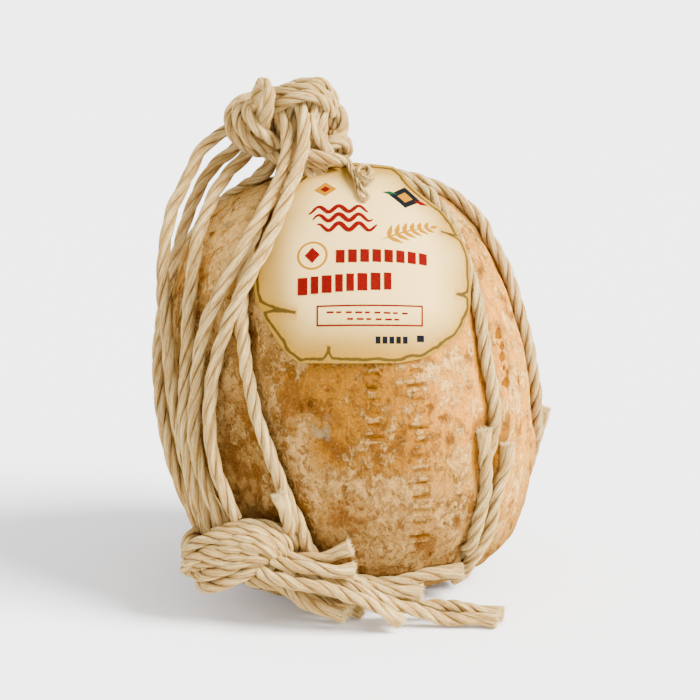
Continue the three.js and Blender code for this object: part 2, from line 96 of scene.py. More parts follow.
# ---------------- curves and noise
def catmull_rom(points: Array, samples: int, mirror_ends: bool = True) -> Array:
    """A uniform Catmull-Rom curve: each span is a cubic whose end slopes are half the step
    from the point before to the point after.

    Args:
        points: the points the curve passes through, one a row.
        samples: how many samples each span gets.
        mirror_ends: whether the missing outer neighbours mirror the end points or repeat them.

    Returns:
        The samples, one a row, ending on the last point.
    """
    if mirror_ends:
        before, after = 2 * points[0] - points[1], 2 * points[-1] - points[-2]
    else:
        before, after = points[0], points[-1]
    p = np.vstack([before, points, after])
    t = (np.arange(samples) / samples)[None, :, None]
    a, b, c, d = (p[i : len(p) - 3 + i, None] for i in range(4))
    cubic = 2 * b + (c - a) * t + (2 * a - 5 * b + 4 * c - d) * t**2 + (3 * b - a - 3 * c + d) * t**3
    return np.vstack([0.5 * cubic.reshape(-1, points.shape[1]), points[-1]])


def travelled(points: Array) -> Array:
    """The distance along a polyline at each of its points: the running sum of its steps."""
    return np.r_[0.0, np.cumsum(np.linalg.norm(np.diff(points, axis=0), axis=1))]


def evenly(points: Array, step: float) -> Array:
    """The same polyline resampled so that its points lie a step apart, by linear interpolation."""
    s = travelled(points)
    wanted = np.linspace(0, s[-1], max(3, round(s[-1] / step) + 1))
    return np.stack([np.interp(wanted, s, points[:, k]) for k in range(points.shape[1])], axis=1)


def smooth(value: Array, low: float, high: float) -> Array:
    """0 below low, 1 above high, and 3t^2 - 2t^3 between them; low may be the larger."""
    t = np.clip((value - low) / (high - low), 0, 1)
    return t * t * (3 - 2 * t)


def lattice_noise(points: Array, size: float, seed: int) -> Array:
    """A smooth random field from -1 to 1: each corner of a lattice of cubes has a hashed value,
    and the eight round a point are blended with 3t^2 - 2t^3 along each axis.

    Args:
        points: where to read the field, one point a row.
        size: the side of a cube.
        seed: a whole number that picks the field.

    Returns:
        One value for each point.
    """
    cell = np.floor(points / size).astype(np.int64)
    f = points / size - cell
    f = f * f * (3 - 2 * f)
    total = np.zeros(len(points))
    for corner in np.ndindex(2, 2, 2):
        i, j, k = (cell + corner).T
        mixed = (i * 374761393 + j * 668265263 + k * 2147483647 + seed * 974634777) & 0xFFFFFFFF
        mixed = ((mixed ^ (mixed >> 13)) * 1274126177) & 0xFFFFFFFF
        value = ((mixed ^ (mixed >> 16)) & 0xFFFF) / 32767.5 - 1
        total += value * np.prod(np.where(corner, f, 1 - f), axis=1)
    return total


def fractal(points: Array, size: float, octaves: int, seed: int) -> Array:
    """Lattice noise summed over octaves, each half the size and half the height of the last."""
    return sum(0.5**o * lattice_noise(points, size * 0.5**o, seed + o) for o in range(octaves))


# ---------------- meshes
@dataclass
class Surface:
    """Vertices, faces and one value a vertex for each named attribute."""

    verts: Array
    faces: list[Faces]
    values: dict[str, Array] = field(default_factory=dict)

    @staticmethod
    def joined(parts: Sequence[Surface]) -> Surface:
        """All the parts as one surface; an attribute that a part lacks is 0 there."""
        names = {name: p.values[name].shape[1:] for p in parts for name in p.values}
        starts = np.cumsum([0] + [len(p.verts) for p in parts])
        values = {
            name: np.concatenate(
                [p.values.get(name, np.zeros((len(p.verts), *shape))) for p in parts]
            )
            for name, shape in names.items()
        }
        faces = [f + start for p, start in zip(parts, starts) for f in p.faces]
        return Surface(np.vstack([p.verts for p in parts]), faces, values)

    def build(self, name: str) -> bpy.types.Object:
        """A smooth-shaded mesh object at the origin with the attributes on its vertices."""
        mesh = bpy.data.meshes.new(name)
        mesh.vertices.add(len(self.verts))
        mesh.vertices.foreach_set("co", self.verts.astype(np.float32).ravel())
        corners = np.concatenate([f.ravel() for f in self.faces])
        counts = np.concatenate([np.full(len(f), f.shape[1]) for f in self.faces])
        mesh.loops.add(len(corners))
        mesh.loops.foreach_set("vertex_index", corners.astype(np.int32))
        mesh.polygons.add(len(counts))
        starts = np.r_[0, np.cumsum(counts)[:-1]]
        mesh.polygons.foreach_set("loop_start", starts.astype(np.int32))
        mesh.update(calc_edges=True)
        mesh.validate()
        mesh.shade_smooth()
        for attribute, value in self.values.items():
            kind = "FLOAT_VECTOR" if value.ndim == 2 else "FLOAT"
            made = mesh.attributes.new(attribute, kind, "POINT")
            key = "vector" if value.ndim == 2 else "value"
            made.data.foreach_set(key, value.astype(np.float32).ravel())
        piece = bpy.data.objects.new(name, mesh)
        bpy.context.scene.collection.objects.link(piece)
        return piece


def grid_quads(rows: int, columns: int, wrap: bool) -> Faces:
    """The quads of a grid of rows by columns of vertices, closed sideways if it wraps."""
    across = columns if wrap else columns - 1
    r, c = np.meshgrid(np.arange(rows - 1), np.arange(across), indexing="ij")
    d = (c + 1) % columns
    quads = np.stack([r * columns + c, r * columns + d, (r + 1) * columns + d,
                      (r + 1) * columns + c], axis=-1)
    return quads.reshape(-1, 4)


def fan(ring: Faces, centre: int, outward: bool) -> Faces:
    """Triangles from a closed ring of vertices to a centre vertex."""
    after = np.roll(ring, -1)
    pair = (ring, after) if outward else (after, ring)
    return np.stack([*pair, np.full(len(ring), centre)], axis=1)


def dress(
    piece: bpy.types.Object, finish: Material, nodes: Sequence[str] = ()
) -> bpy.types.Object:
    """Gives a piece its finish, the body it rides on and the nodes it stands for."""
    piece.data.materials.append(finish)
    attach(piece, BODY)
    if nodes:
        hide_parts(*nodes)
    LOG.info("%s: %d vertices", piece.name, len(piece.data.vertices))
    return piece


# ---------------- finishes
def srgb(colour: Colour) -> tuple[float, float, float, float]:
    """A display colour of 0 to 255 as linear light, by the sRGB curve."""
    values = (c / 255 for c in colour)
    linear = [c / 12.92 if c <= 0.04045 else ((c + 0.055) / 1.055) ** 2.4 for c in values]
    return (*linear, 1.0)


@dataclass
class Graph:
    """A material's node tree, with one short call for each kind of node the finishes use."""

    name: str
    material: Material = field(init=False)
    tree: bpy.types.NodeTree = field(init=False)
    shader: bpy.types.Node = field(init=False)

    def __post_init__(self) -> None:
        """Starts a material that holds a Principled shader."""
        self.material = bpy.data.materials.new(self.name)
        self.material.use_nodes = True
        self.tree = self.material.node_tree
        self.shader = self.tree.nodes["Principled BSDF"]

    def add(self, kind: str, inputs: dict[str | int, Feed], **settings: object) -> bpy.types.Node:
        """A new node with its settings made and its inputs fed."""
        node = self.tree.nodes.new(kind)
        for name, value in settings.items():
            setattr(node, name, value)
        for key, value in inputs.items():
            self.feed(node.inputs[key], value)
        return node

    def feed(self, socket: Socket, value: Feed) -> None:
        """Links a socket to another one, or sets it to a constant."""
        if isinstance(value, Socket):
            self.tree.links.new(value, socket)
        else:
            socket.default_value = value

    def place(self) -> Socket:
        """The object's own coordinates."""
        return self.add("ShaderNodeTexCoord", {}).outputs["Object"]

    def value(self, name: str) -> Socket:
        """A number that the mesh holds at its vertices."""
        return self.add("ShaderNodeAttribute", {}, attribute_name=name).outputs["Fac"]

    def vector(self, name: str) -> Socket:
        """A vector that the mesh holds at its vertices."""
        return self.add("ShaderNodeAttribute", {}, attribute_name=name).outputs["Vector"]

    def stretched(self, where: Socket, scale: tuple[float, ...],
                  shift: tuple[float, ...] = (0, 0, 0)) -> Socket:
        """Coordinates scaled along each axis and then shifted."""
        inputs = {"Vector": where, "Scale": scale, "Location": shift}
        return self.add("ShaderNodeMapping", inputs).outputs["Vector"]

    def noise(self, where: Socket, scale: float, detail: float = 4, roughness: float = 0.55,
              distortion: float = 0) -> Socket:
        """Fractal noise from 0 to 1."""
        inputs = {"Vector": where, "Scale": scale, "Detail": detail, "Roughness": roughness,
                  "Distortion": distortion}
        return self.add("ShaderNodeTexNoise", inputs).outputs["Fac"]

    def cells(self, where: Socket, scale: float) -> Socket:
        """The distance to the nearest of a random set of points."""
        inputs = {"Vector": where, "Scale": scale}
        return self.add("ShaderNodeTexVoronoi", inputs, feature="F1").outputs["Distance"]

    def math(self, operation: str, *values: Feed) -> Socket:
        """Arithmetic on numbers."""
        return self.add("ShaderNodeMath", dict(enumerate(values)), operation=operation).outputs[0]

    def times(self, first: Feed, second: Feed) -> Socket:
        """One number times another."""
        return self.math("MULTIPLY", first, second)

    def total(self, *terms: tuple[Socket, float]) -> Socket:
        """The sum of several numbers, each times its own weight."""
        result, *others = [self.times(value, weight) for value, weight in terms]
        for other in others:
            result = self.math("ADD", result, other)
        return result

    def step(self, value: Socket, low: float, high: float, start: float = 0,
             end: float = 1) -> Socket:
        """From start at low to end at high, smoothly."""
        inputs = {"Value": value, "From Min": low, "From Max": high, "To Min": start,
                  "To Max": end}
        node = self.add("ShaderNodeMapRange", inputs, interpolation_type="SMOOTHSTEP")
        return node.outputs["Result"]

    def mix(self, share: Feed, first: Feed, second: Feed, blend: str = "MIX") -> Socket:
        """A colour between two others."""
        node = self.add("ShaderNodeMix", {}, data_type="RGBA", blend_type=blend)
        for socket, value in zip((node.inputs[0], node.inputs[6], node.inputs[7]),
                                 (share, first, second)):
            self.feed(socket, value)
        return node.outputs[2]

    def bump(self, height: Socket, distance: float, strength: float = 1,
             under: Socket | None = None) -> Socket:
        """A normal bent by a height, on top of another one."""
        inputs: dict[str | int, Feed] = {"Height": height, "Distance": distance,
                                         "Strength": strength}
        if under is not None:
            inputs["Normal"] = under
        return self.add("ShaderNodeBump", inputs).outputs["Normal"]

    def soak(self, share: float, reach: tuple[float, float, float]) -> None:
        """Lets a share of the light in, red, green and blue to a reach of their own in metres."""
        self.shader.inputs["Subsurface Weight"].default_value = share
        self.shader.inputs["Subsurface Radius"].default_value = reach
        self.shader.inputs["Subsurface Scale"].default_value = 1.0

    def finished(self, colour: Socket, roughness: Feed, specular: float,
                 normal: Socket | None = None) -> Material:
        """Feeds the shader and gives the whole material.

        Args:
            colour: the surface's own colour.
            roughness: 0 for a mirror, 1 for chalk.
            specular: how strongly it shines.
            normal: the bent normal, or none for a plain surface.

        Returns:
            The material.
        """
        self.feed(self.shader.inputs["Base Color"], colour)
        self.feed(self.shader.inputs["Roughness"], roughness)
        self.shader.inputs["Specular IOR Level"].default_value = specular
        if normal is not None:
            self.feed(self.shader.inputs["Normal"], normal)
        return self.material


@dataclass(frozen=True)
class RindFinish:
    """The dry rind: tan to ochre skin under a ragged powdery bloom, with flecks and pores."""

    tan: Colour = (148, 110, 56)
    ochre: Colour = (134, 86, 16)
    # partly a real warm blush, partly painted light on the lit right shoulder and the crown
    blush: Colour = (226, 150, 56)
    # bloom and cream are a painted shaded and a painted lit copy of the powder; cream also tints the
    # fine grain
    bloom: Colour = (170, 132, 74)
    cream: Colour = (238, 190, 108)
    amber: Colour = (130, 76, 0)
    brown: Colour = (98, 58, 18)
    speck: Colour = (84, 40, 16)
    # amber for a real stain and for the painted shadow beside the ropes
    stain: Colour = (156, 98, 12)
    mould: Colour = (124, 122, 94)

    def skin(self, g: Graph, where: Socket, broad: Socket, cloud: Socket) -> Socket:
        """Tan skin that turns ochre, is blotched with brown, and is brighter orange at the shoulders and
        crown, partly a real blush and partly painted light.
        """
        warmth = g.total((g.value("ochre"), 0.4), (broad, 0.6), (cloud, 0.4))
        colour = g.mix(g.step(warmth, 0.42, 0.82), srgb(self.tan), srgb(self.ochre))
        colour = g.mix(g.times(g.value("blush"), 0.9), colour, srgb(self.blush))
        patchy = g.noise(g.stretched(where, (1, 1, 0.8), (11, 5, 2)), 95, 5, 0.62, 0.5)
        blotch = g.math("ADD", g.times(g.value("umber"), 0.26), patchy)
        return g.mix(g.step(blotch, 0.48, 0.66, 0.0, 0.85), colour, srgb(self.brown))

    def powdered(self, g: Graph, where: Socket, powder: Socket, colour: Socket) -> Socket:
        """The skin under its bloom, which is unevenly thick: a painted lit cream at the lit shoulders
        and crown, a darker painted shaded copy elsewhere.
        """
        thickness = g.step(g.noise(where, 420, 4, 0.7), 0.36, 0.6, 0.4, 0.95)
        # painted light and shade: the powder is cream where the blush with painted light is high and the
        # darker bloom elsewhere
        pale = g.mix(g.value("blush"), srgb(self.bloom), srgb(self.cream))
        return g.mix(g.times(powder, thickness), colour, pale)

    def flecked(self, g: Graph, where: Socket, flecks: Socket, grain: Socket,
                colour: Socket) -> Socket:
        """Brown flecks, sparse dark specks, a little mould, and the skin's own fine grain."""
        showing = g.step(g.value("blush"), 0.1, 0.9, 0.7, 0.2)
        colour = g.mix(g.times(flecks, showing), colour, srgb(self.brown))
        sparse = g.step(g.noise(g.stretched(where, (1, 1, 1), (9, 4, 2)), 40, 2), 0.5, 0.62)
        specks = g.times(g.step(g.cells(where, 190), 0.24, 0.1), sparse)
        colour = g.mix(g.times(specks, 0.75), colour, srgb(self.speck))
        rare = g.step(g.noise(g.stretched(where, (1, 1, 1), (5, 8, 6)), 60, 3), 0.68, 0.75)
        colour = g.mix(g.times(rare, 0.45), colour, srgb(self.mould))
        colour = g.mix(g.step(grain, 0.34, 0.56, 0.3, 0.0), colour, srgb(self.brown))
        return g.mix(g.step(grain, 0.52, 0.7, 0.0, 0.1), colour, srgb(self.cream))

    def stains_and_painted_shade(self, g: Graph, cloud: Socket, grain: Socket, pit: Socket,
                colour: Socket) -> Socket:
        """Amber stain with the ropes' painted shadow beside them, amber pits with a painted shaded lip,
        and painted shade in hollows.
        """
        # real amber stain and painted rope shadow, on the skin left of each rope
        edge = g.times(g.value("stain"), g.step(cloud, 0.2, 0.6, 0.6, 1.0))
        colour = g.mix(edge, colour, srgb(self.stain))
        colour = g.mix(g.times(g.step(pit, 0.3, 0.55), 0.95), colour, srgb(self.amber))
        # painted shade: a soft brown lip round the rim of each pit
        from_rim = g.math("ABSOLUTE", g.math("SUBTRACT", pit, 0.42))
        lip = g.times(g.step(from_rim, 0.2, 0.04), g.step(grain, 0.36, 0.58, 0.1, 0.8))
        colour = g.mix(lip, colour, srgb(self.brown))
        # painted shade: the dark speck colour multiplied into pores, the crease, pressed bars and beside
        # the ropes
        return g.mix(g.value("hollow"), colour, srgb(self.speck), "MULTIPLY")

    def build(self) -> Material:
        """The node material; it reads the vertex values bloom, ochre, the blush with its painted light,
        umber, pit, the stain with its painted rope shadow, and the painted shade in hollows."""
        g = Graph("rind")
        where = g.place()
        tall = g.stretched(where, (1, 1, 0.62), (3, 1, 7))
        broad = g.noise(where, 34, 4, 0.6, 0.3)
        cloud = g.noise(where, 120, 5, 0.66, 0.6)
        lace = g.noise(tall, 210, 6, 0.76, 0.7)
        grain = g.noise(where, 900, 3, 0.65)
        fine = g.noise(where, 2600, 2, 0.6)
        level = g.total((broad, 0.24), (cloud, 0.4), (lace, 0.36), (g.value("bloom"), 0.11))
        powder = g.step(level, 0.5, 0.55)
        flecks = g.step(g.noise(tall, 230, 5, 0.72, 0.6), 0.54, 0.6)
        pit = g.math("ADD", g.value("pit"), g.times(g.math("SUBTRACT", lace, 0.5), 2.0))

        colour = self.skin(g, where, broad, cloud)
        colour = self.powdered(g, where, powder, colour)
        colour = self.flecked(g, where, flecks, grain, colour)
        colour = self.stains_and_painted_shade(g, cloud, grain, pit, colour)
        g.soak(0.06, (0.004, 0.002, 0.001))
        height = g.total((lace, 0.8), (powder, 0.3), (flecks, -0.2),
                         (g.step(pit, 0.3, 0.55), -0.5))
        uneven = g.bump(grain, 0.0009, 1, g.bump(height, 0.0016))
        roughness = g.step(level, 0.44, 0.6, 0.46, 0.8)
        return g.finished(colour, roughness, 0.0, g.bump(fine, 0.0003, 0.9, uneven))


@dataclass(frozen=True)
class RopeFinish:
    """Undyed natural fibre: pale strands with fine streaks, with painted golden brown shade and a
    painted dark line where strands meet.
    """

    name: str = "rope"
    light: Colour = (226, 198, 134)
    mid: Colour = (194, 156, 90)
    # golden: fibre streaks, and the painted shade where strands meet
    golden: Colour = (156, 112, 52)
    # painted shade: a dark line in the groove between two strands
    groove: Colour = (88, 64, 34)

    def build(self) -> Material:
        """The node material; it reads the vertex values fibre, tip, and the painted shade in the grooves
        and valleys between strands.
        """
        g = Graph(self.name)
        fibre = g.vector("fibre")
        strands = g.noise(g.stretched(fibre, (1, 1, 0.05)), 1.1, 3, 0.6)
        threads = g.noise(g.stretched(fibre, (1, 1, 0.035)), 3.4, 3, 0.6)
        fine = g.noise(g.stretched(fibre, (1, 1, 0.03)), 9, 2, 0.5)
        tone = g.noise(g.stretched(fibre, (0.3, 0.3, 0.06), (7, 2, 5)), 1, 3)
        streak = g.total((strands, 0.7), (threads, 0.3))
        colour = g.mix(g.step(streak, 0.38, 0.58), srgb(self.mid), srgb(self.light))
        colour = g.mix(g.step(tone, 0.42, 0.62, 0.0, 0.7), colour, srgb(self.mid))
        # painted shade: golden brown towards where two strands meet
        colour = g.mix(g.times(g.value("valley"), 0.7), colour, srgb(self.golden))
        line = g.step(g.total((strands, 0.5), (fine, 0.5)), 0.49, 0.39, 0.0, 0.9)
        colour = g.mix(line, colour, srgb(self.golden))
        # painted shade: a broken dark line in each groove
        colour = g.mix(g.times(g.value("groove"), 0.95), colour, srgb(self.groove))
        colour = g.mix(g.times(g.value("tip"), 0.8), colour, srgb(self.light))
        g.soak(0.1, (0.0016, 0.001, 0.0006))
        twisted = g.bump(threads, 0.0008, 1, g.bump(strands, 0.0006))
        return g.finished(colour, 0.66, 0.06, g.bump(fine, 0.00035, 1, twisted))


@dataclass(frozen=True)
class PaperFinish:
    """Parchment paper: pale in the middle, ochre at the rim, with a printed ragged edge line."""

    pale: Colour = (224, 191, 118)
    aged: Colour = (166, 126, 48)
    halo: Colour = (156, 108, 10)
    rim: Colour = (142, 106, 28)
    line: Colour = (60, 46, 12)

    def build(self) -> Material:
        """The node material; it reads the vertex values inward, tear and shade."""
        g = Graph("paper")
        where = g.place()
        mottle = g.noise(where, 60, 4, 0.55)
        wobble = g.noise(where, 300, 4, 0.6)
        inward = g.math("ADD", g.value("inward"), g.times(mottle, 8))
        colour = g.mix(g.step(inward, 2, 27), srgb(self.aged), srgb(self.pale))
        # painted shade: the knot's and string's shadow and a falloff across the middle, with darker
        # bottom and sides
        colour = g.mix(g.value("shade"), colour, srgb(self.rim))
        tear = g.math("ADD", g.value("tear"), g.times(g.math("SUBTRACT", wobble, 0.5), 1.4))
        glow = g.step(g.math("ADD", tear, g.times(mottle, 4)), 6.4, 1.8, 0.0, 0.55)
        colour = g.mix(glow, colour, srgb(self.halo))
        colour = g.mix(g.step(tear, 0.1, -0.4), colour, srgb(self.rim))
        drawn = g.step(g.math("ABSOLUTE", tear), 0.95, 0.45, 0.0, 0.92)
        colour = g.mix(drawn, colour, srgb(self.line))
        foxing = g.times(g.step(g.noise(where, 900, 3, 0.6), 0.62, 0.7),
                         g.step(tear, 7, 1, 0.0, 0.5))
        colour = g.mix(foxing, colour, srgb(self.line))
        return g.finished(colour, 0.6, 0.04, g.bump(g.noise(where, 1800, 3), 0.00005))


@dataclass(frozen=True)
class InkFinish:
    """A printed ink, a little uneven, with the paper's own grain."""

    name: str
    ink: Colour
    worn: Colour

    def build(self) -> Material:
        """The node material."""
        g = Graph(self.name)
        where = g.place()
        wear = g.step(g.noise(where, 900, 4, 0.65), 0.45, 0.75, 0.0, 0.6)
        colour = g.mix(wear, srgb(self.ink), srgb(self.worn))
        return g.finished(colour, 0.8, 0.0, g.bump(g.noise(where, 1800, 3), 0.00005))


# ---------------- the cheese
@dataclass(frozen=True)
class Patch:
    """A soft patch of skin: its middle and half sizes, in degrees round and mm up."""

    azimuth: float
    height: float
    half_round: float
    half_up: float
    strength: float

    def read(self, azimuth: Array, height: Array) -> Array:
        """The patch's strength times exp(-(round^2 + up^2)) in its half sizes."""
        across = (azimuth - self.azimuth + 180) % 360 - 180
        bell = (across / self.half_round) ** 2 + ((height - self.height) / self.half_up) ** 2
        return self.strength * np.exp(-bell)


def covered(patches: Sequence[Patch], azimuth: Array, height: Array) -> Array:
    """The summed strength of all the patches at each spot."""
    return sum(patch.read(azimuth, height) for patch in patches)


@dataclass(frozen=True)
class BarRow:
    """An upright row of pressed bars: where it stands, in degrees round and mm up, how far
    apart its bars are in mm and how wide each is, as half its width in degrees."""

    azimuth: float
    low: float
    high: float
    pitch: float
    half_round: float


@dataclass
class Profile:
    """The cheese's profile as a fine polyline in mm, from the foot's edge to the crown."""

    points: Route = PROFILE
    line: Array = field(init=False, repr=False)

    def __post_init__(self) -> None:
        """Samples the curve through the profile's points."""
        self.line = catmull_rom(np.array(self.points, float), 24, mirror_ends=False)

    def on_skin(self, azimuth: float, height: float, lift: float) -> list[float]:
        """A point over the skin, mm: azimuth in degrees from the front towards +X."""
        i = max(1, int(np.argmax(self.line[:, 1] >= height)))
        low, high = self.line[i - 1], self.line[i]
        along = (high - low) / np.linalg.norm(high - low)
        share = (height - low[1]) / (high[1] - low[1])
        radius = low[0] + share * (high[0] - low[0]) + swell(azimuth, height) + along[1] * lift
        a = math.radians(azimuth)
        return [radius * math.sin(a) - LEAN * height, -radius * math.cos(a),
                height - along[0] * lift]

    def leg(self, points: Route, lift: float = SUNK) -> list[list[float]]:
        """Points over the skin for azimuths and heights; a third number is a point's own lift."""
        return [self.on_skin(p[0], p[1], p[2] if len(p) > 2 else lift) for p in points]


@dataclass
class CheeseBody:
    """The whole cheese as one closed grid, with valleys where the ropes are pulled into it."""

    profile: Profile
    columns: int = 460
    rows: int = 214
    rope_room: float = 3.4  # from a rope's centre to the skin under it, mm
    valley: float = 8.5  # half width of a rope's valley, mm
    channel: float = 5.6  # half width where the rope lies in the skin, mm
    reach: float = 12.0  # a rope further under the skin runs elsewhere and leaves no dent, mm
    shoulder: float = 0.9  # height of the skin pushed up beside a rope, mm
    fold_depth: float = 0.8  # mm
    pit_depth: float = 1.5  # mm
    bar_rows: tuple[BarRow, ...] = (
        BarRow(7, 88, 118, 5.6, 2.6), BarRow(20.6, 40, 117, 6.4, 3.1),
    )
    blooms: tuple[Patch, ...] = (
        Patch(0, 30, 30, 22, 0.35), Patch(-22, 84, 6, 30, 0.5), Patch(28, 40, 16, 26, 0.5),
        Patch(62, 115, 14, 46, 0.3), Patch(-42, 110, 16, 34, 0.5), Patch(-8, 64, 14, 9, 0.7),
        Patch(-50, 160, 26, 26, 0.6), Patch(36, 78, 9, 24, 0.2), Patch(120, 70, 30, 45, 0.5),
        Patch(190, 60, 40, 40, 0.6), Patch(250, 110, 30, 50, 0.5), Patch(62, 60, 14, 30, 0.4),
        Patch(28, 118, 12, 16, 0.3), Patch(14, 95, 12, 18, -0.2), Patch(-4, 112, 9, 7, -0.5),
        Patch(-6, 89, 4.5, 6, -1.3), Patch(-10.5, 103, 3.2, 3.5, -1.2), Patch(24, 62, 5, 14, -0.5),
        Patch(-17, 58, 6, 7, -0.5), Patch(-3, 54, 4, 6, -0.8), Patch(22, 38, 6, 8, -0.8),
        Patch(-14, 80, 3.5, 22, 0.8), Patch(2, 79, 8, 7, 0.6), Patch(14, 64, 8, 9, 0.6),
        Patch(-17.5, 104, 2.5, 12, -0.8), Patch(-50, 185, 70, 16, 0.8), Patch(80, 185, 60, 14, 0.8),
    )
    ochres: tuple[Patch, ...] = (
        Patch(10, 92, 20, 24, 1.0), Patch(-8, 112, 16, 12, 0.8), Patch(-3, 84, 7, 9, 0.9),
        Patch(28, 118, 16, 22, 0.6), Patch(60, 120, 14, 40, 0.1), Patch(-17, 58, 9, 12, 0.7),
        Patch(46, 86, 8, 22, 0.4), Patch(150, 110, 40, 40, 0.5), Patch(225, 80, 30, 40, 0.5),
    )
    # warm blush patches, partly painted light on the lit right shoulder and the crown
    blush_and_light_patches: tuple[Patch, ...] = (
        Patch(66, 125, 24, 60, 1.1), Patch(34, 108, 14, 34, 0.9), Patch(-60, 168, 50, 30, 0.8),
        Patch(60, 60, 20, 30, 0.6), Patch(110, 110, 30, 60, 0.6),
    )
    umbers: tuple[Patch, ...] = (
        Patch(-17, 104, 4, 10, 1.0), Patch(-20, 82, 3, 10, 0.6), Patch(-10.5, 103, 2.4, 3, 1.2),
        Patch(-6, 86, 3, 4.5, 0.9), Patch(4.4, 115.5, 2.2, 3.6, 1.0), Patch(0, 80.4, 1.6, 1.7, 1.2),
        Patch(8.4, 78, 2, 3, 0.7), Patch(-14, 62, 6, 4, 0.7), Patch(23, 37, 5, 5, 0.6),
        Patch(38, 53, 7, 8, 0.7), Patch(-40, 77, 8, 14, 0.6), Patch(34, 88, 1.6, 1.8, 1.0),
        Patch(30, 84, 1.6, 2.2, 0.9), Patch(24.5, 100, 1.5, 1.6, 0.9), Patch(-4, 50, 8, 6, 0.6),
        Patch(-26, 60, 6, 16, 0.6), Patch(47, 112, 1.4, 1.6, 1.0), Patch(200, 120, 20, 30, 0.4),
    )
    # azimuth and height of each pit, and its half size in mm
    pits: tuple[tuple[float, float, float], ...] = (
        (54.9, 126.7, 2.3), (54.8, 121.3, 1.4), (54.2, 116.5, 2.1), (54.4, 111.5, 1.2),
        (56.2, 109, 1.4), (54.4, 104.8, 2.2),
    )

    def grid(self) -> tuple[Array, Array, Array]:
        """The skin before any relief.

        Each row is a ring at one distance along the profile, which starts at the middle of the
        foot; rings and columns lie closer together where the front shows.

        Returns:
            Points in mm, unit normals, and azimuths in degrees, all rows x columns.
        """
        line = np.vstack([[0.0, 0.0], self.profile.line])
        s = travelled(line)
        height = np.interp(s, s, line[:, 1])
        weight = 1 + smooth(height, 15, 35) * smooth(height, 160, 130)
        grown = np.r_[0, np.cumsum(0.5 * (weight[1:] + weight[:-1]) * np.diff(s))]
        wanted = np.interp(np.linspace(0, grown[-1], self.rows), grown, s)
        r, z = np.interp(wanted, s, line[:, 0]), np.interp(wanted, s, line[:, 1])
        dr, dz = np.gradient(r, wanted), np.gradient(z, wanted)
        length = np.hypot(dr, dz)
        angle = np.linspace(-180, 180, 2000)
        dense = 1 + 1.6 * np.exp(-(((angle - 15) / 45) ** 2))
        sweep = np.cumsum(dense) - dense[0]
        phi = np.interp(np.arange(self.columns) / self.columns * sweep[-1], sweep, angle)
        a = np.radians(phi)
        wide = r[:, None] + swell(phi[None], z[:, None]) * (r[:, None] > 0)
        points = np.stack([
            wide * np.sin(a) - LEAN * z[:, None],
            -wide * np.cos(a),
            np.broadcast_to(z[:, None], (self.rows, self.columns)),
        ], axis=-1)
        normals = np.stack([
            (dz / length)[:, None] * np.sin(a),
            -(dz / length)[:, None] * np.cos(a),
            np.broadcast_to((-dr / length)[:, None], (self.rows, self.columns)),
        ], axis=-1)
        return points, normals, np.broadcast_to(phi, (self.rows, self.columns))

    def rope_relief(self, points: Array, normals: Array, ropes: Sequence[Array]) -> tuple[
            Array, Array, Array, Array]:
        """How the ropes shape the skin.

        Over each skin point the nearest rope point is found; its depth h under the skin and its
        sideways distance d give a dent of h plus the rope's room, which fades as d grows, and a
        low shoulder outside it.

        Args:
            points: skin points, mm, one a row.
            normals: their unit normals.
            ropes: the centre lines of the sunk ropes, mm.

        Returns:
            The dent, the shoulder, the sideways distance to the nearest rope and the same
            distance on a rope's left side alone, all in mm.
        """
        dent = np.zeros(len(points))
        beside = np.zeros(len(points))
        nearest = np.full(len(points), FAR)
        leftward = np.full(len(points), FAR)
        for rope in ropes:
            for block in np.array_split(np.arange(len(points)), 40):
                away = rope[None] - points[block, None]
                close = np.argmin(np.einsum("ijk,ijk->ij", away, away), axis=1)
                e = away[np.arange(len(block)), close]
                depth = -np.einsum("ij,ij->i", e, normals[block])
                d = np.sqrt(np.maximum(np.einsum("ij,ij->i", e, e) - depth**2, 0))
                buried = smooth(depth, 0.0, 2.0)
                wall = self.valley - (self.valley - self.channel) * buried
                fade = (1 - smooth(d / wall, 0.3, 1.0)) * (depth < self.reach)
                dent[block] = np.maximum(dent[block], (depth + self.rope_room) * fade)
                hump = self.shoulder * np.exp(-(((d - 11) / 5.5) ** 2)) * (1 - buried)
                beside[block] = np.maximum(beside[block], hump)
                touching = depth < 4
                nearest[block] = np.minimum(nearest[block], np.where(touching, d, FAR))
                left = touching & (e[:, 0] > 0.5)
                leftward[block] = np.minimum(leftward[block], np.where(left, d, FAR))
        return dent, beside, nearest, leftward

    def marks(self, azimuth: Array, height: Array) -> Array:
        """Plain pressed bars of the mould, in two upright rows: the depth in mm. Each is a bell
        across the bar, less a lower bell on either side that raises its lips."""
        depth = np.zeros(len(height))
        for row in self.bar_rows:
            for i, z in enumerate(np.arange(row.low, row.high, row.pitch)):
                tilt = 0.5 * math.sin(3.1 * i)
                width = row.half_round * (0.8 + 0.25 * math.cos(2.3 * i))
                along = (azimuth - row.azimuth) / width
                off = np.abs(height - z - tilt * along)
                bar = np.exp(-((off / 0.8) ** 2)) - 0.55 * np.exp(-(((off - 1.9) / 0.6) ** 2))
                strength = 1.1 + 0.4 * math.sin(1.7 * i + row.azimuth)
                depth += strength * bar * (1 - smooth(np.abs(along), 0.8, 1.1))
        return depth

    def swellings(self, points: Array) -> Array:
        """How the skin swells and sinks, in mm: noise of three sizes."""
        return (1.1 * fractal(points, 34, 2, 11) + 0.5 * fractal(points, 13, 3, 23)
                + 0.22 * fractal(points * (1, 1, 0.7), 4.5, 2, 31))

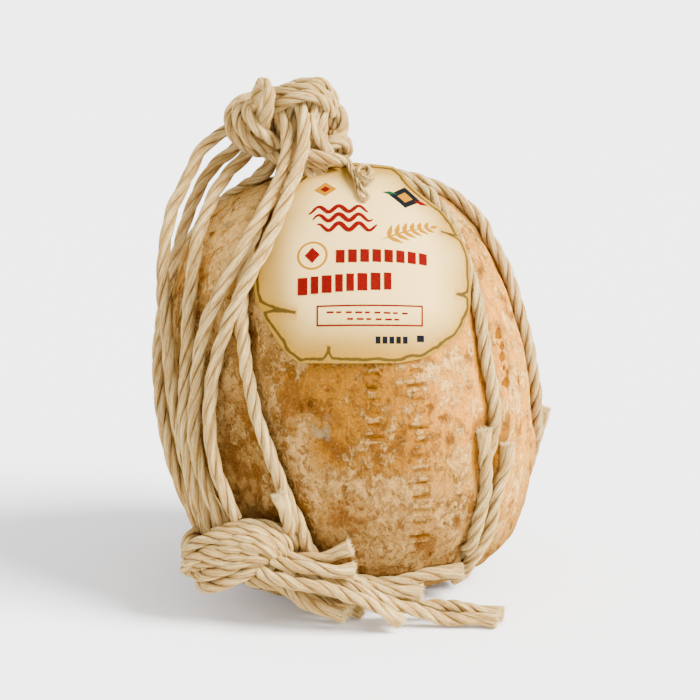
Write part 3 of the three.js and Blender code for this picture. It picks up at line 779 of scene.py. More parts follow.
    def crease(self, azimuth: Array, height: Array) -> Array:
        """A shallow upright fold of the skin at the right: its depth in mm, a bell across it."""
        across = np.abs(azimuth - 60.5 - 2.5 * np.sin(height / 26)) * math.radians(88)
        ends = smooth(height, 60, 75), smooth(height, 150, 132)
        return self.fold_depth * np.exp(-((across / 1.8) ** 2)) * ends[0] * ends[1]

    def pitting(self, azimuth: Array, height: Array) -> Array:
        """The row of small pits beside the fold: the sum of a bell for each, from 0 to 1."""
        return sum(
            np.exp(-((((azimuth - a) * math.radians(66)) ** 2 + (height - z) ** 2) / size**2))
            for a, z, size in self.pits
        )

    def closed(self, points: Array, values: dict[str, Array]) -> Surface:
        """The grid as one closed surface in metres, its first and last ring each a point."""
        rows, columns = self.rows, self.columns
        inner = np.arange(columns, (rows - 1) * columns)
        foot = (rows - 2) * columns
        verts = np.vstack([points[inner], points[:1], points[-1:]])
        values = {name: np.r_[v[inner], v[0], v[-1]] for name, v in values.items()}
        faces = [
            grid_quads(rows - 2, columns, True),
            fan(np.arange(columns), foot, False),
            fan(np.arange((rows - 3) * columns, foot), foot + 1, True),
        ]
        return Surface(verts * MM, faces, values)

    def surface(self, ropes: Sequence[Array]) -> Surface:
        """The finished skin in metres, with its vertex values."""
        base, normal, phi = self.grid()
        p, n, azimuth = base.reshape(-1, 3), normal.reshape(-1, 3), phi.ravel()
        height = p[:, 2]
        dent, beside, distance, leftward = self.rope_relief(p, n, ropes)
        fold = self.crease(azimuth, height)
        pit = self.pitting(azimuth, height)
        pores = np.maximum(0, fractal(p, 3.2, 2, 47) - 0.75) * 1.6
        pressed = self.marks(azimuth, height)
        relief = self.swellings(p) + beside - fold - self.pit_depth * pit - pores - pressed
        offset = smooth(height, 0.5, 10) * relief - dent
        moved = p + n * offset[:, None]
        moved[:, 2] = np.maximum(moved[:, 2], 0)

        bars, lips = np.clip(pressed, 0, 1), np.clip(-pressed, 0, 1)
        # partly a real amber stain and partly the rope's painted shadow: a band on the skin left of each
        # rope, stronger towards the right
        valley = np.exp(-(((leftward - 4.6) / 2.2) ** 2)) * smooth(height, 40, 70)
        stain = valley * (0.35 + 0.65 * smooth(azimuth, 25, 40)) * smooth(azimuth, -60, -30)
        # painted shade: darker in the pores, right beside the ropes and in the crease, and in the
        # pressed bars below
        sunk = 0.6 * pores + 0.35 * smooth(distance, 5.5, 2.5) + 0.4 * fold
        return self.closed(moved, {
            "bloom": covered(self.blooms, azimuth, height) - 0.15 + 0.8 * lips - 2 * pit,
            "ochre": covered(self.ochres, azimuth, height),
            "blush": np.clip(covered(self.blush_and_light_patches, azimuth, height), 0, 1),
            "umber": np.clip(covered(self.umbers, azimuth, height), 0, 1.2),
            "pit": pit,
            "stain": np.clip(stain + 0.3 * pit + 0.7 * bars, 0, 0.9),
            "hollow": np.clip(0.3 * bars + sunk, 0, 0.8),
        })


# ---------------- rope
class End(Enum):
    """How a length of rope ends."""

    BURIED = "buried"
    CUT = "cut"


@dataclass(frozen=True)
class LaidRope:
    """Three strands laid right-handed: a lobed section that turns as it goes along a route."""

    diameter: float
    lay: float = 26 * MM
    lobes: int = 3
    spread: float = 0.35  # how far the strands' middles lie from the rope's, as a share
    around: int = 60
    step: float = 0.9 * MM
    fray: float = 14 * MM  # how much of a cut end is unlaid
    flare: float = 0.22  # how much wider a cut end is, as a share
    fill: float = 0.97  # the laid strands' share of the diameter
    sway: float = 0.25 * MM  # how far the centre line wanders
    nick: float = 0.08  # depth of the groove between two strands, as a share
    nick_width: float = 0.45  # its half width, mm
    thread: float = 0.06  # height of the threads and of their bundles, as shares
    bundle: float = 0.035
    fibre_turn: float = 0.45  # turns of the fibres for one of the strands

    def frames(self, line: Array) -> tuple[Array, Array]:
        """Two directions square to the line at each point, carried along without twist.

        Args:
            line: the centre line, one point a row.

        Returns:
            The two unit directions at each point.
        """
        tangent = np.gradient(line, axis=0)
        tangent /= np.linalg.norm(tangent, axis=1, keepdims=True)
        first = np.cross(tangent[0], (0.31, 0.52, 0.79))
        sides = [first / np.linalg.norm(first)]
        for t in tangent[1:]:
            carried = sides[-1] - t * (sides[-1] @ t)
            sides.append(carried / np.linalg.norm(carried))
        side = np.array(sides)
        return side, np.cross(tangent, side)

    def section(self, angle: Array) -> tuple[Array, Array]:
        """The lobed outline: the outer edge of circles set round the middle, as a share of the
        rope's radius, where a circle of radius r at distance d reaches
        d cos(a) + sqrt(r^2 - d^2 sin(a)^2), with a narrow nick where two circles meet.

        Args:
            angle: directions round the rope.

        Returns:
            The outline, and how near each direction is to a nick, from 0 to 1.
        """
        part = 2 * math.pi / self.lobes
        a = (angle + part / 2) % part - part / 2
        d, r = self.spread, 1 - self.spread
        away = (part / 2 - np.abs(a)) * self.diameter / 2 / MM
        nick = np.exp(-((away / self.nick_width) ** 2))
        outline = d * np.cos(a) + np.sqrt(r**2 - (d * np.sin(a)) ** 2) - self.nick * nick
        return outline, nick

    def twist(self, s: Array, seed: int, unlaid: Array) -> Array:
        """How far the strands have turned at each distance: the summed rate of one turn a lay,
        which wavers by a seventh and falls to a quarter where the strands are unlaid."""
        waver = 1 + 0.14 * lattice_noise(np.outer(s, (1, 0, 0)) + seed, 24 * MM, seed)
        rate = 2 * math.pi / self.lay * waver * (1 - 0.75 * unlaid)
        return np.r_[0.0, np.cumsum(rate[1:] * np.diff(s))]

    def swayed(self, line: Array, s: Array, ways: tuple[Array, Array], seed: int) -> Array:
        """The centre line moved a little to both sides, by noise that fades out at its ends."""
        fade = smooth(np.minimum(s, s[-1] - s), 0, 8 * MM)
        for k, way in enumerate(ways):
            noise = lattice_noise(np.outer(s, (0, 0, 1)) + seed + 7 * k, 16 * MM, seed + k)
            line = line + self.sway * (noise * fade)[:, None] * way
        return line

    def fibres(self, outline: Array, s: Array, column: Array, phase: Array) -> Array:
        """Coordinates in mm that run with the fibres: round the strand by the outline in metres,
        turned 0.45 times as fast as the strands are, and along it by the distance."""
        angle = column[None] + self.fibre_turn * phase[:, None]
        return np.stack([outline * np.cos(angle), outline * np.sin(angle),
                         np.broadcast_to(s[:, None], outline.shape)], axis=-1) / MM

    def worn(self, outline: Array, fibre: Array, s: Array, seed: int) -> Array:
        """The outline with threads and bundles of threads raised on it, and slowly changing
        thickness."""
        thread = lattice_noise((fibre * (1, 1, 0.05) + 50 * seed).reshape(-1, 3), 0.7, seed + 5)
        bundle = lattice_noise((fibre * (1, 1, 0.04) + 30 * seed).reshape(-1, 3), 1.9, seed + 6)
        raised = (self.thread * thread + self.bundle * bundle).reshape(outline.shape)
        thick = 1 + 0.04 * lattice_noise(np.outer(s, (0, 1, 0)) + seed, 14 * MM, seed + 9)
        return (outline + raised) * thick[:, None]

    def tube(self, line: Array, seed: int, ends: tuple[End, End] = (End.BURIED, End.BURIED),
             turn: float = 0.0) -> Surface:
        """The rope's surface along a line.

        Each ring holds the section, turned with the strands, so that a column of vertices runs
        down one strand. Ridges along the fibres and slow changes of thickness are added. At a
        cut end the strands run straight, the outline rounds out and flares a little.

        Args:
            line: the centre line in metres.
            seed: picks the unevenness.
            ends: how the rope starts and ends.
            turn: where its strands start, in radians.

        Returns:
            The closed surface with the vertex values fibre (mm), and the painted shade in the grooves
            and valleys between strands.
        """
        line = evenly(line, self.step)
        s = travelled(line)
        side, other = self.frames(line)
        line = self.swayed(line, s, (side, other), seed)
        radius = self.fill * self.diameter / 2
        column = 2 * math.pi * np.arange(self.around) / self.around
        cuts = [(e, far) for end, e, far in zip(ends, (s, s[-1] - s), (False, True))
                if end is End.CUT]
        unlaid = sum((smooth(e, self.fray, 0.25 * self.fray) for e, _ in cuts), np.zeros(len(s)))
        phase = turn + self.twist(s, seed, unlaid)
        section, nick = self.section(column)
        # painted shade between strands: 1 where two strands meet, 0 on their crowns
        valley = 1 - (section - section.min()) / (section.max() - section.min())
        opened = 0.5 * (section + self.fill)
        outline = section + (opened - section) * unlaid[:, None]
        fibre = self.fibres(outline * radius, s, column, phase)
        outline = self.worn(outline, fibre, s, seed)

        shift = np.zeros_like(outline)
        ragged = lattice_noise(np.outer(column, (5, 0, 0)) + seed, 1.0, seed + 3)
        for e, far in cuts:
            share = smooth(e, 0.55 * self.fray, 0)[:, None]
            outline = outline * (1 + self.flare * share) + 0.05 * ragged * share
            last = smooth(e, 2.2 * self.step, 0)[:, None]
            shift += (1 if far else -1) * last * 0.8 * ragged * MM
        angle = (column[None] + phase[:, None])[..., None]
        along = np.cross(side, other)
        round_about = np.cos(angle) * side[:, None] + np.sin(angle) * other[:, None]
        verts = line[:, None] + radius * outline[..., None] * round_about
        verts += shift[..., None] * along[:, None]

        # painted shade: broken dark lines in the grooves and golden shade in the valleys, weaker where
        # unlaid
        laid = (1 - 0.6 * unlaid)[:, None]
        broken = lattice_noise((fibre * (0.2, 0.2, 0.15)).reshape(-1, 3), 1.0, seed + 13)
        nick = nick * smooth(broken, -0.35, 0.45).reshape(outline.shape)
        parts = [Surface(verts.reshape(-1, 3), [grid_quads(len(s), self.around, True)], {
            "fibre": fibre.reshape(-1, 3), "groove": (nick * laid).ravel(),
            "valley": (valley * laid).ravel(),
        })]
        for row, far, end in ((0, False, ends[0]), (len(s) - 1, True, ends[1])):
            out = along[row] * (1 if far else -1)
            parts.append(self.cap(verts[row], line[row], fibre[row], out, far,
                                  0.4 * MM if end is End.CUT else 0.0, seed))
        return Surface.joined(parts)

    def cap(self, rim: Array, middle: Array, fibre: Array, out: Array, far: bool,
            rough: float, seed: int) -> Surface:
        """Closes an end: rings that shrink from the rim to its middle point, roughened by the
        ends of the fibres.

        Args:
            rim: the end ring.
            middle: the end of the centre line.
            fibre: the fibre coordinates on the rim.
            out: the direction the end faces.
            far: whether it is the line's last point.
            rough: how far the fibres' ends stand in or out.
            seed: picks them.

        Returns:
            The end's surface.
        """
        shares = np.array([1.0, 0.9, 0.76, 0.6, 0.44, 0.28, 0.12])
        count = len(shares)
        rings = middle + (rim - middle)[None] * shares[:, None, None]
        coordinates = fibre[None] * np.stack([shares, shares, np.ones(count)], axis=1)[:, None]
        flat = np.vstack([coordinates.reshape(-1, 3), [0, 0, fibre[0, 2]]])
        verts = np.vstack([rings.reshape(-1, 3), middle])
        inner = 1 - np.r_[np.repeat(shares, self.around), 0]
        lifted = lattice_noise(flat + 9 * seed, 0.6, seed + 31) + 1.6 * np.sqrt(inner)
        lifted[: self.around] = 0
        verts += rough * lifted[:, None] * out
        # painted shade in the sunken spots of the end's face
        pits = np.clip(0.6 - lifted, 0, 1)
        values = {"fibre": flat, "groove": 0.2 * pits, "valley": 0.5 * pits}
        quads = grid_quads(count, self.around, True)
        if not far:
            quads = quads[:, ::-1]
        last = np.arange((count - 1) * self.around, count * self.around)
        return Surface(verts, [quads, fan(last, len(verts) - 1, far)], values)

    def tuft(self, line: Array, seed: int, at_start: bool, count: int = 200) -> Surface:
        """Short loose fibres that stand out of a cut end.

        Args:
            line: the rope's centre line.
            seed: picks the fibres.
            at_start: whether the cut end is the line's first point.
            count: how many fibres.

        Returns:
            Their surfaces.
        """
        rng = np.random.default_rng(seed)
        line = evenly(line, self.step)
        side, other = self.frames(line)
        k = 0 if at_start else -1
        out = np.cross(side[k], other[k]) * (-1 if at_start else 1)
        around = rng.uniform(0, 2 * math.pi, count)
        share = rng.uniform(0.1, 1, count) ** 0.4
        radial = np.cos(around)[:, None] * side[k] + np.sin(around)[:, None] * other[k]
        roots = line[k] + radial * (share * self.diameter * 0.5)[:, None] - out * 1.2 * MM
        spread = radial * (0.35 * share**2)[:, None] + rng.normal(0, 0.16, (count, 3)).clip(
            -0.3, 0.3)
        heading = out + spread
        reach = (1.6 + rng.gamma(1.6, 0.4, count).clip(0, 1.5)) * MM
        bend = rng.normal(0, 0.15, (count, 3)).clip(-0.25, 0.25)
        return hairs(roots, heading, bend, reach, 0.17 * MM)


def hairs(roots: Array, heading: Array, bend: Array, reach: Array, radius: float) -> Surface:
    """Thin three-sided fibres: each starts at its root, goes along its heading and bends off by
    the square of the distance gone.

    Args:
        roots: where each fibre starts.
        heading: its first direction.
        bend: how it is bent at its tip, as a share of its reach.
        reach: its length.
        radius: its radius at the root.

    Returns:
        All the fibres as one surface.
    """
    steps = 5
    count = len(roots)
    heading = heading / np.linalg.norm(heading, axis=1, keepdims=True)
    t = np.linspace(0, 1, steps)
    spine = roots[:, None] + reach[:, None, None] * (
        heading[:, None] * t[None, :, None] + bend[:, None] * (t**2)[None, :, None])
    a = np.cross(heading, (0.37, 0.61, 0.7))
    a /= np.linalg.norm(a, axis=1, keepdims=True)
    b = np.cross(heading, a)
    turn = 2 * math.pi * np.arange(3) / 3
    ring = np.cos(turn)[None, :, None] * a[:, None] + np.sin(turn)[None, :, None] * b[:, None]
    taper = radius * (1 - 0.75 * t)
    verts = spine[:, :, None] + ring[:, None] * taper[None, :, None, None]
    each = np.arange(count)[:, None, None] * steps * 3
    quads = (grid_quads(steps, 3, True)[None] + each).reshape(-1, 4)
    starts = each[:, 0]
    tips = starts + (steps - 1) * 3
    caps = np.vstack([starts + np.array([[2, 1, 0]]), tips + np.array([[0, 1, 2]])])
    fibre = np.repeat(roots * 5 / MM, steps * 3, axis=0)
    return Surface(verts.reshape(-1, 3), [quads, caps], {"fibre": fibre, "tip": np.ones(len(fibre))})


def route_line(points: Route, step: float = 0.5 * MM) -> Array:
    """The smooth centre line, in metres, through route points given in mm."""
    return evenly(catmull_rom(np.array(points, float) * MM, 24), step)


@dataclass
class Harness:
    """The three binding loops, the five strands of the sling and the rope ends held by them."""

    profile: Profile
    sling_lay: float = 42 * MM
    binding_lay: float = 30 * MM
    under_front_left: Route = (
        (-18, -60, 9), (-16.5, -46, 4), (-14, -30, 3.5), (-10, -15, 3.5), (-6, 0, 3.5),
        (-3, 16, 3.5), (4, 31, 3.5), (15, 42, 3.7), (24, 50, 5),
    )
    under_front_right: Route = (
        (50, -34, 8), (42, -21, 3.7), (34, -17, 3.5), (20, -14.5, 3.5), (6, -11, 5.5),
        (-7, -8, 10.2), (-20, -5, 5.5), (-34, -2, 3.5), (-46, -1, 4),
    )
    under_right: Route = (
        (55, 9, 8), (46, 12, 4.2), (37, 15, 3.5), (24, 20, 3.5), (11, 26, 6), (-2, 32, 10.2),
        (-14, 38, 5.5), (-21, 46, 4.5),
    )

    def binding(self) -> dict[str, Route]:
        """Each loop leaves the top knot, goes down one side, under the cheese and up again."""
        leg = self.profile.leg
        return {
            "binding_front_left": [
                [-34, -5, 203], [-34.5, -12, 198],
                *leg([[-44, 186.3], [-39.8, 181.9], [-38.1, 176.8], [-37.3, 170.8], [-36.6, 164],
                    [-35.1, 150.9, 1.2], [-33.4, 137.4, 1.2], [-31.4, 124.7], [-29.8, 113], [-27, 96],
                    [-24, 83], [-21.5, 70], [-19, 58], [-16.5, 48], [-15, 38], [-13.5, 31]]),
                *self.under_front_left,
                *leg([[153, 14], [151, 30], [149, 55], [147, 85], [146, 115], [147, 140], [150, 160],
                    [158, 177], [178, 188.5]]),
                [-19, 17, 196], [-24, 8, 202],
            ],
            "binding_front_right": [
                [-20, -11, 201], [-10, -12, 196.9], [4, -12, 195], [18, -13.5, 193],
                [28, -17.5, 189.6],
                *leg([[62, 185.6, 2], [57.5, 182], [55.1, 177.8, 1.4], [52.6, 171.8, 1.2],
                    [50.7, 167.6, 1.2], [49.3, 163.6, 1.2], [48.3, 156.6, 1.3], [47.7, 151.5, 1.5],
                    [47.3, 145.5], [46.6, 133.5], [45.9, 121], [46.3, 110], [46.9, 98], [46.8, 90],
                    [46, 80, 0.4], [45, 68, -2.2], [44.4, 56, -3.2], [44.2, 43, -3.2], [43.8, 31, -3.2],
                    [45.5, 20, -2.6]]),
                *self.under_front_right,
                *leg([[-92, 9], [-94, 24], [-97, 45], [-99, 75], [-100, 105], [-101, 135], [-102, 158],
                    [-103, 175]]),
                [-45, 2, 193], [-40, 1, 201],
            ],
            "binding_right": [
                [-20, -3, 202], [-9, -4.3, 198], [8, -5.2, 195.6], [24, -7, 193],
                [38, -9.3, 188.4], [49, -12, 181.8], [57.5, -14.5, 173.6],
                *leg([[76, 165], [75, 157], [74.5, 148], [74, 126], [75, 110], [77, 96], [79.5, 84, 1.4],
                    [84, 73, 1], [90, 62, 0.8], [96, 51, 0.8], [102, 40, 0.8], [105, 30, 0.8],
                    [104, 20, 0.8]]),
                *self.under_right,
                *leg([[-158, 10], [-157, 24], [-155, 45], [-151, 75], [-146, 105], [-138, 135],
                    [-128, 158], [-119, 175]]),
                [-47, 12, 192], [-41, 9, 199],
            ],
        }

    def sling(self) -> dict[str, Route]:
        """The strands from the top knot over the left shoulder to the bottom knot."""
        return {
            "sling_left_a": [
                [-59.5, 2, 215.5], [-67, -2, 211.5], [-74, -7, 205], [-80, -13, 193],
                [-86.5, -19, 178.5], [-90, -25, 161.5], [-90.5, -30, 145], [-89, -34, 131.5],
                [-87.5, -39, 118], [-86, -44, 104.5], [-84, -49, 91.5], [-81, -53, 78],
                [-78, -57, 65], [-74.5, -60, 51.5], [-70, -63, 40], [-66, -65, 33],
            ],
            "sling_left_b": [
                [-53, 12, 210.5], [-60.5, 10, 203], [-68.5, 6, 196.5], [-75.5, 1, 186],
                [-81, -5, 172.5], [-85, -10, 159], [-88.5, -15, 145.5], [-91.5, -19, 131.5],
                [-93, -23, 118.5], [-93.5, -28, 105.5], [-92, -35, 92.5], [-89.5, -43, 80.5],
                [-86, -49, 68], [-81, -54, 55], [-75.5, -58, 44], [-70.5, -60, 34.5],
            ],
            "sling_left_c": [
                [-46.5, 4, 208.5], [-53, 1, 202], [-60.5, -7, 195], [-67, -16, 186],
                [-71.5, -26, 175], [-74.5, -35, 163.5], [-76, -43, 150.5], [-77, -49, 138],
                [-77.5, -53, 125], [-78.5, -56, 111.5], [-79, -58, 98], [-79, -60, 84.5],
                [-77, -63, 71], [-73.5, -66, 57.5], [-68.5, -69.5, 45.5], [-63, -71, 35],
            ],
            "sling_front_a": [
                [-37, -14, 224], [-34, -20, 220], [-32.5, -24, 215], [-32.5, -29, 209],
                [-34, -36, 202], [-37, -44, 193.5], [-43, -56, 183], [-50.5, -62.5, 171],
                [-57.5, -66.5, 157.5], [-64, -67, 144.5], [-69, -64.5, 131.5],
                [-72, -63, 118], [-73.5, -63, 104], [-74.5, -64.5, 90.5], [-73, -68.5, 77.5],
                [-69.5, -73, 64.5], [-64.5, -77, 53.5], [-59, -77, 43],
            ],
            "sling_front_b": [
                [-27, -16, 228.5], [-25.5, -22, 224.5], [-25, -27, 218.5], [-25, -33, 211],
                [-27, -40, 203], [-30, -48, 195], [-35, -59.5, 183], [-41.5, -68.5, 169.5],
                [-48.5, -73, 157], [-54.5, -74, 144.5], [-59.5, -71.5, 132],
                [-63.5, -69, 120], [-66, -69.5, 107.5], [-67, -70.5, 95.5],
                [-66.5, -73, 84.5], [-64, -78, 72], [-59.5, -83, 61], [-55, -81, 49],
            ],
        }

    def held_ends(self) -> dict[str, Route]:
        """Cut ends that stand beside the binding ropes, the tucked end and the rope under the
        bottom knot, and the short stubs at the foot."""
        leg = self.profile.leg
        return {
            "upright_end_front_a": leg([[41.6, 86.2], [41.6, 79.7], [41.8, 72.6], [42.1, 65.3],
                [42.2, 58.6], [41.5, 51.9], [41, 46.1], [40.5, 40.2], [40.2, 33.5],
                [40.3, 28.5, 1.2]], 2.8),
            "upright_end_front_b": leg([[51.5, 76.7], [50.8, 70.8], [49.8, 65.4], [48.6, 60.9],
                [47.7, 56.9], [47, 50.8], [46.8, 44.4], [46.6, 38.3], [45.3, 31.8], [43.4, 26.5],
                [43, 21.2], [44, 15, 2.8], [45.2, 10.5, 2]], 3.3),
            "upright_end_right": leg([[92, 79, 4.9], [92.5, 73.5, 4.4], [94, 67.5, 3.4], [96.5, 61, 2.4],
                [99.5, 55, 1.4], [103, 49, 0.4]]),
            "tucked_end": [[-35, -89.5, 62], [-33, -89, 56.5], [-31.5, -87.5, 49.5], [-31, -82, 43]],
            "under_run": [[-57, -64, 18.5], [-49, -62, 13.5], [-40.5, -60, 10], [-31, -59, 7],
                [-22, -57, 4]],
            "short_end_a": [[-33.5, -84.5, 32], [-27.5, -85.5, 31.5], [-21, -86.5, 32],
                [-14.5, -87, 32.5], [-9, -87, 35], [-4, -87, 37]],
            "short_end_b": [[-38, -90, 32], [-33.5, -92, 31.5], [-28, -94, 30.5], [-21, -95, 30.5],
                [-14.5, -95.5, 29.5], [-8.5, -95, 29], [-2.5, -94, 29]],
            "short_end_c": [[-31, -73, 15], [-24.5, -75, 13.5], [-18.5, -77, 11], [-13, -78.5, 9.5],
                [-8.5, -80.5, 8], [-3.5, -81.5, 6.5]],
            "short_end_d": [[-25, -68.5, 10], [-17.5, -70, 8.5], [-10, -72, 6.5], [-4, -74, 5],
                [1.5, -76, 4]],
        }

    def cut_ends(self, name: str) -> tuple[End, End]:
        """Which ends of a rope are cut and show."""
        if name.startswith(("upright", "tucked")):
            return End.CUT, End.BURIED
        return End.BURIED, End.CUT if name.startswith("short") else End.BURIED

    def build(self, finish: Material) -> None:
        """Makes every rope of the harness, each standing for the node of its own name."""
        routes = {**self.sling(), **self.binding(), **self.held_ends()}
        for seed, (name, points) in enumerate(routes.items(), start=1):
            lay = self.sling_lay if name.startswith("sling") else self.binding_lay
            rope = LaidRope(ROPE, lay=lay)
            ends = self.cut_ends(name)
            line = route_line(points)
            parts = [rope.tube(line, seed, ends, turn=1.7 * seed)]
            parts += [rope.tuft(line, seed, k == 0) for k, end in enumerate(ends)
                      if end is End.CUT]
            piece = Surface.joined(parts).build(f"rope_{name}")
            dress(piece, finish, [name])


@dataclass
class LooseEnds:
    """The cut rope ends that fan out from the bottom knot, each a free cord."""

    routes: dict[str, Route] = field(default_factory=lambda: {
        "free_end_a": [[-33.5, -83.5, 25], [-26.5, -84, 24.5], [-18, -84.5, 24], [-9.5, -84.5, 22.5],
            [-3, -85, 20.5], [4, -84.5, 18], [9.5, -84.5, 16.5], [17.5, -84.5, 16], [23.5, -84.5, 16],
            [28, -84.5, 15.5]],
        "free_end_b": [[-31, -72.5, 22], [-24, -75.5, 21], [-16.5, -78, 21], [-8.5, -77, 19.5],
            [0, -75, 18], [11, -73, 16], [22, -70, 16.5], [34, -66.5, 18.5], [47, -63, 18.5]],
        "free_end_c": [[-44, -91, 27.5], [-39, -93.5, 26], [-33.5, -95.5, 25], [-26.5, -97, 23.5],
            [-19, -98, 23], [-12, -98.5, 21.5], [-5, -98.5, 18.5], [0.5, -98.5, 17], [6, -98, 14.5],
            [11.5, -97, 11], [15.5, -95, 7.5], [18, -93.5, 5.5]],
        "free_end_d": [[-28, -90, 25], [-22.5, -91, 25], [-16.5, -91.5, 24.5], [-7.5, -91.5, 21.5],
            [1.5, -92, 18.5], [8.5, -91.5, 15.5], [15, -90, 12], [21.5, -88.5, 9.5], [29.5, -87.5, 7],
            [38, -87, 4], [46, -87.5, 4], [54, -87.5, 4], [61.5, -88, 3.5]],
        "free_end_e": [[-27.5, -81, 19.5], [-19, -82.5, 17], [-10, -82.5, 15], [-1, -81.5, 13],
            [9, -80.5, 11], [19, -79.5, 9], [28, -79.5, 7.5], [37, -79.5, 7.5], [45, -80, 7],
            [53, -80.5, 5.5], [65, -81, 4]],
        "free_end_f": [[-50, -78, 19.5], [-43.5, -80.5, 19], [-39, -82.5, 19], [-35, -84.5, 18.5],
            [-31.5, -86, 17], [-28, -87.5, 14.5], [-23, -88.5, 11.5], [-17, -89.5, 9.5], [-11, -90, 8],
            [-6.5, -91, 7]],
    })

    def build(self, finish: Material) -> None:
        """Makes the loose ends."""
        rope = LaidRope(ROPE)
        for seed, (name, points) in enumerate(self.routes.items(), start=41):
            line = route_line(points)
            parts = [rope.tube(line, seed, (End.BURIED, End.CUT), turn=2.3 * seed),
                     rope.tuft(line, seed, False)]
            piece = dress(Surface.joined(parts).build(f"rope_{name}"), finish, [name])
            float(travelled(line)[-1])


@dataclass
class Knot:
    """A wound knot: separate turns of rope over a coil that fills its middle."""

    name: str
    node: str
    turns: dict[str, Route]
    cores: Sequence[tuple[Sequence[float], Sequence[float]]]
    seed: int
    lay: float = 26 * MM
    half: float = 3.0  # half a coiled rope, mm

    def coil(self, middle: Sequence[float], radii: Sequence[float]) -> Array:
        """A coil along x inside an ellipsoid: its turns lie one rope's width apart, and the
        radius at each x is the ellipsoid's less half a rope."""
        a, b, c = (r - self.half for r in radii)
        turns = max(2.0, a / self.half)
        t = np.linspace(0, 1, int(turns * 24))
        x = -a + 2 * a * t
        round_off = np.sqrt(np.maximum(1 - (x / (a + self.half)) ** 2, 0.05))
        angle = 2 * math.pi * turns * t
        path = np.stack([x, b * round_off * np.cos(angle), c * round_off * np.sin(angle)], axis=1)
        return (path + np.array(middle)) * MM

    def build(self, finish: Material) -> None:
        """Makes the knot as one piece."""
        rope = LaidRope(KNOT_ROPE, lay=self.lay, spread=0.32)
        filler = LaidRope(KNOT_ROPE, lay=self.lay, around=24, step=1.6 * MM)
        parts = [
            rope.tube(route_line(points), self.seed + i, turn=1.1 * i)
            for i, points in enumerate(self.turns.values())
        ]
        parts += [filler.tube(self.coil(*core), self.seed + 60 + i)
                  for i, core in enumerate(self.cores)]
        dress(Surface.joined(parts).build(self.name), finish, [self.node])


def mirrored(points: Route, middle: float = -1.0) -> list[list[float]]:
    """The same turn on the back of the knot: y reflected about the knot's middle."""
    return [[x, 2 * middle - y, z] for x, y, z in points]


def top_knot() -> Knot:
    """The knot above the crown."""
    front: dict[str, Route] = {
        "left_outer": [[-44, 2, 203.5], [-50.5, -4, 206], [-56.5, -8, 211], [-59.5, -7, 216.5],
            [-59.5, -1, 223.5], [-54.5, 6, 228], [-49.5, 12, 229]],
        "left_middle": [[-37.5, -6, 205.5], [-44.5, -13, 208], [-51.5, -17, 213], [-55.5, -16, 220],
            [-55.5, -10, 226], [-51.5, -2, 229]],
        "left_inner": [[-37, -14, 210], [-42.5, -20, 214], [-48, -22, 219.5], [-51, -18, 225],
            [-49, -10, 228.5]],
        "bight": [[-46, -9, 219], [-47, -12, 228], [-46, -13, 234.5], [-44, -16, 238],
            [-41.5, -21, 235.5], [-41, -24, 230], [-42, -24, 224], [-43.5, -20, 218.5]],
        "band_lower": [[-41.5, -14, 224], [-36, -18, 228], [-30.5, -21, 231], [-24.5, -22, 232.5],
            [-19, -20, 231.5], [-15, -16, 228], [-12.5, -12, 223]],
        "band_middle": [[-43, -6, 228.5], [-36, -12, 232], [-29, -15, 234.5], [-22.5, -16, 235.5],
            [-17.5, -14, 233.5], [-13.5, -10, 230], [-11, -6, 224]],
        "band_upper": [[-44.5, 6, 230.5], [-36.5, 2, 233], [-28, -1, 235], [-20.5, -3, 237],
            [-16, -2, 236], [-12.5, 0, 231.5], [-11, 2, 225.5], [-9.5, 3, 219], [-9.5, 2, 213]],
        "fall_left": [[-31, -12, 230.5], [-32, -14, 224.5], [-30.5, -17, 217.5], [-29.5, -20, 209.5],
            [-29.5, -22, 203]],
        "fall_middle": [[-21.5, -13, 230], [-20.5, -17, 223.5], [-21.5, -19, 216], [-22, -20, 208]],
        "fall_right": [[-17, -11, 229], [-16.5, -15, 223], [-17, -18, 216.5], [-18.5, -18, 208.5]],
        "slant": [[-23, -22, 223.5], [-20, -25, 217.5], [-16.5, -25, 211.5], [-13.5, -22, 206]],
        "right_upper": [[-13, -6, 225.5], [-9, -8, 223.5], [-7, -8, 218], [-8.5, -10, 213.5],
            [-12.5, -13, 210.5]],
        "right_lower": [[-16, -18, 208.5], [-10.5, -17, 210.5], [-6.5, -13, 209.5], [-5, -9, 206],
            [-7.5, -9, 203.5], [-12.5, -12, 203.5]],
        "collar_upper": [[-25.5, -26, 207], [-18.5, -26, 205.5], [-11.5, -24, 204], [-7, -20, 202]],
        "collar_lower": [[-25.5, -22, 203], [-20, -23, 202], [-14, -22, 200.5]],
        "tuck_left": [[-42, -8, 205], [-36, -13, 202], [-30, -16, 199], [-23, -17, 197.5]],
        "tuck_middle": [[-24, -16, 202], [-20, -19, 199], [-15, -20.5, 196.8]],
        "tuck_right": [[-29, -15, 204], [-26, -18.5, 200.5], [-23, -21, 197], [-20.5, -22, 194.5]],
    }
    behind = ("left_middle", "left_inner", "band_lower", "band_middle", "fall_left",
              "fall_middle", "fall_right", "slant", "right_upper", "right_lower",
              "collar_upper", "collar_lower")
    turns = front | {f"{name}_back": mirrored(front[name]) for name in behind}
    cores = [((-32, -1, 219), (22, 15, 15)), ((-17, -1, 209), (11, 17, 10)),
             ((-49, -2, 218), (9, 13, 12)), ((-14, -2, 219), (7, 8, 10))]
    return Knot("knot_top", "top_knot", turns, cores, 100)


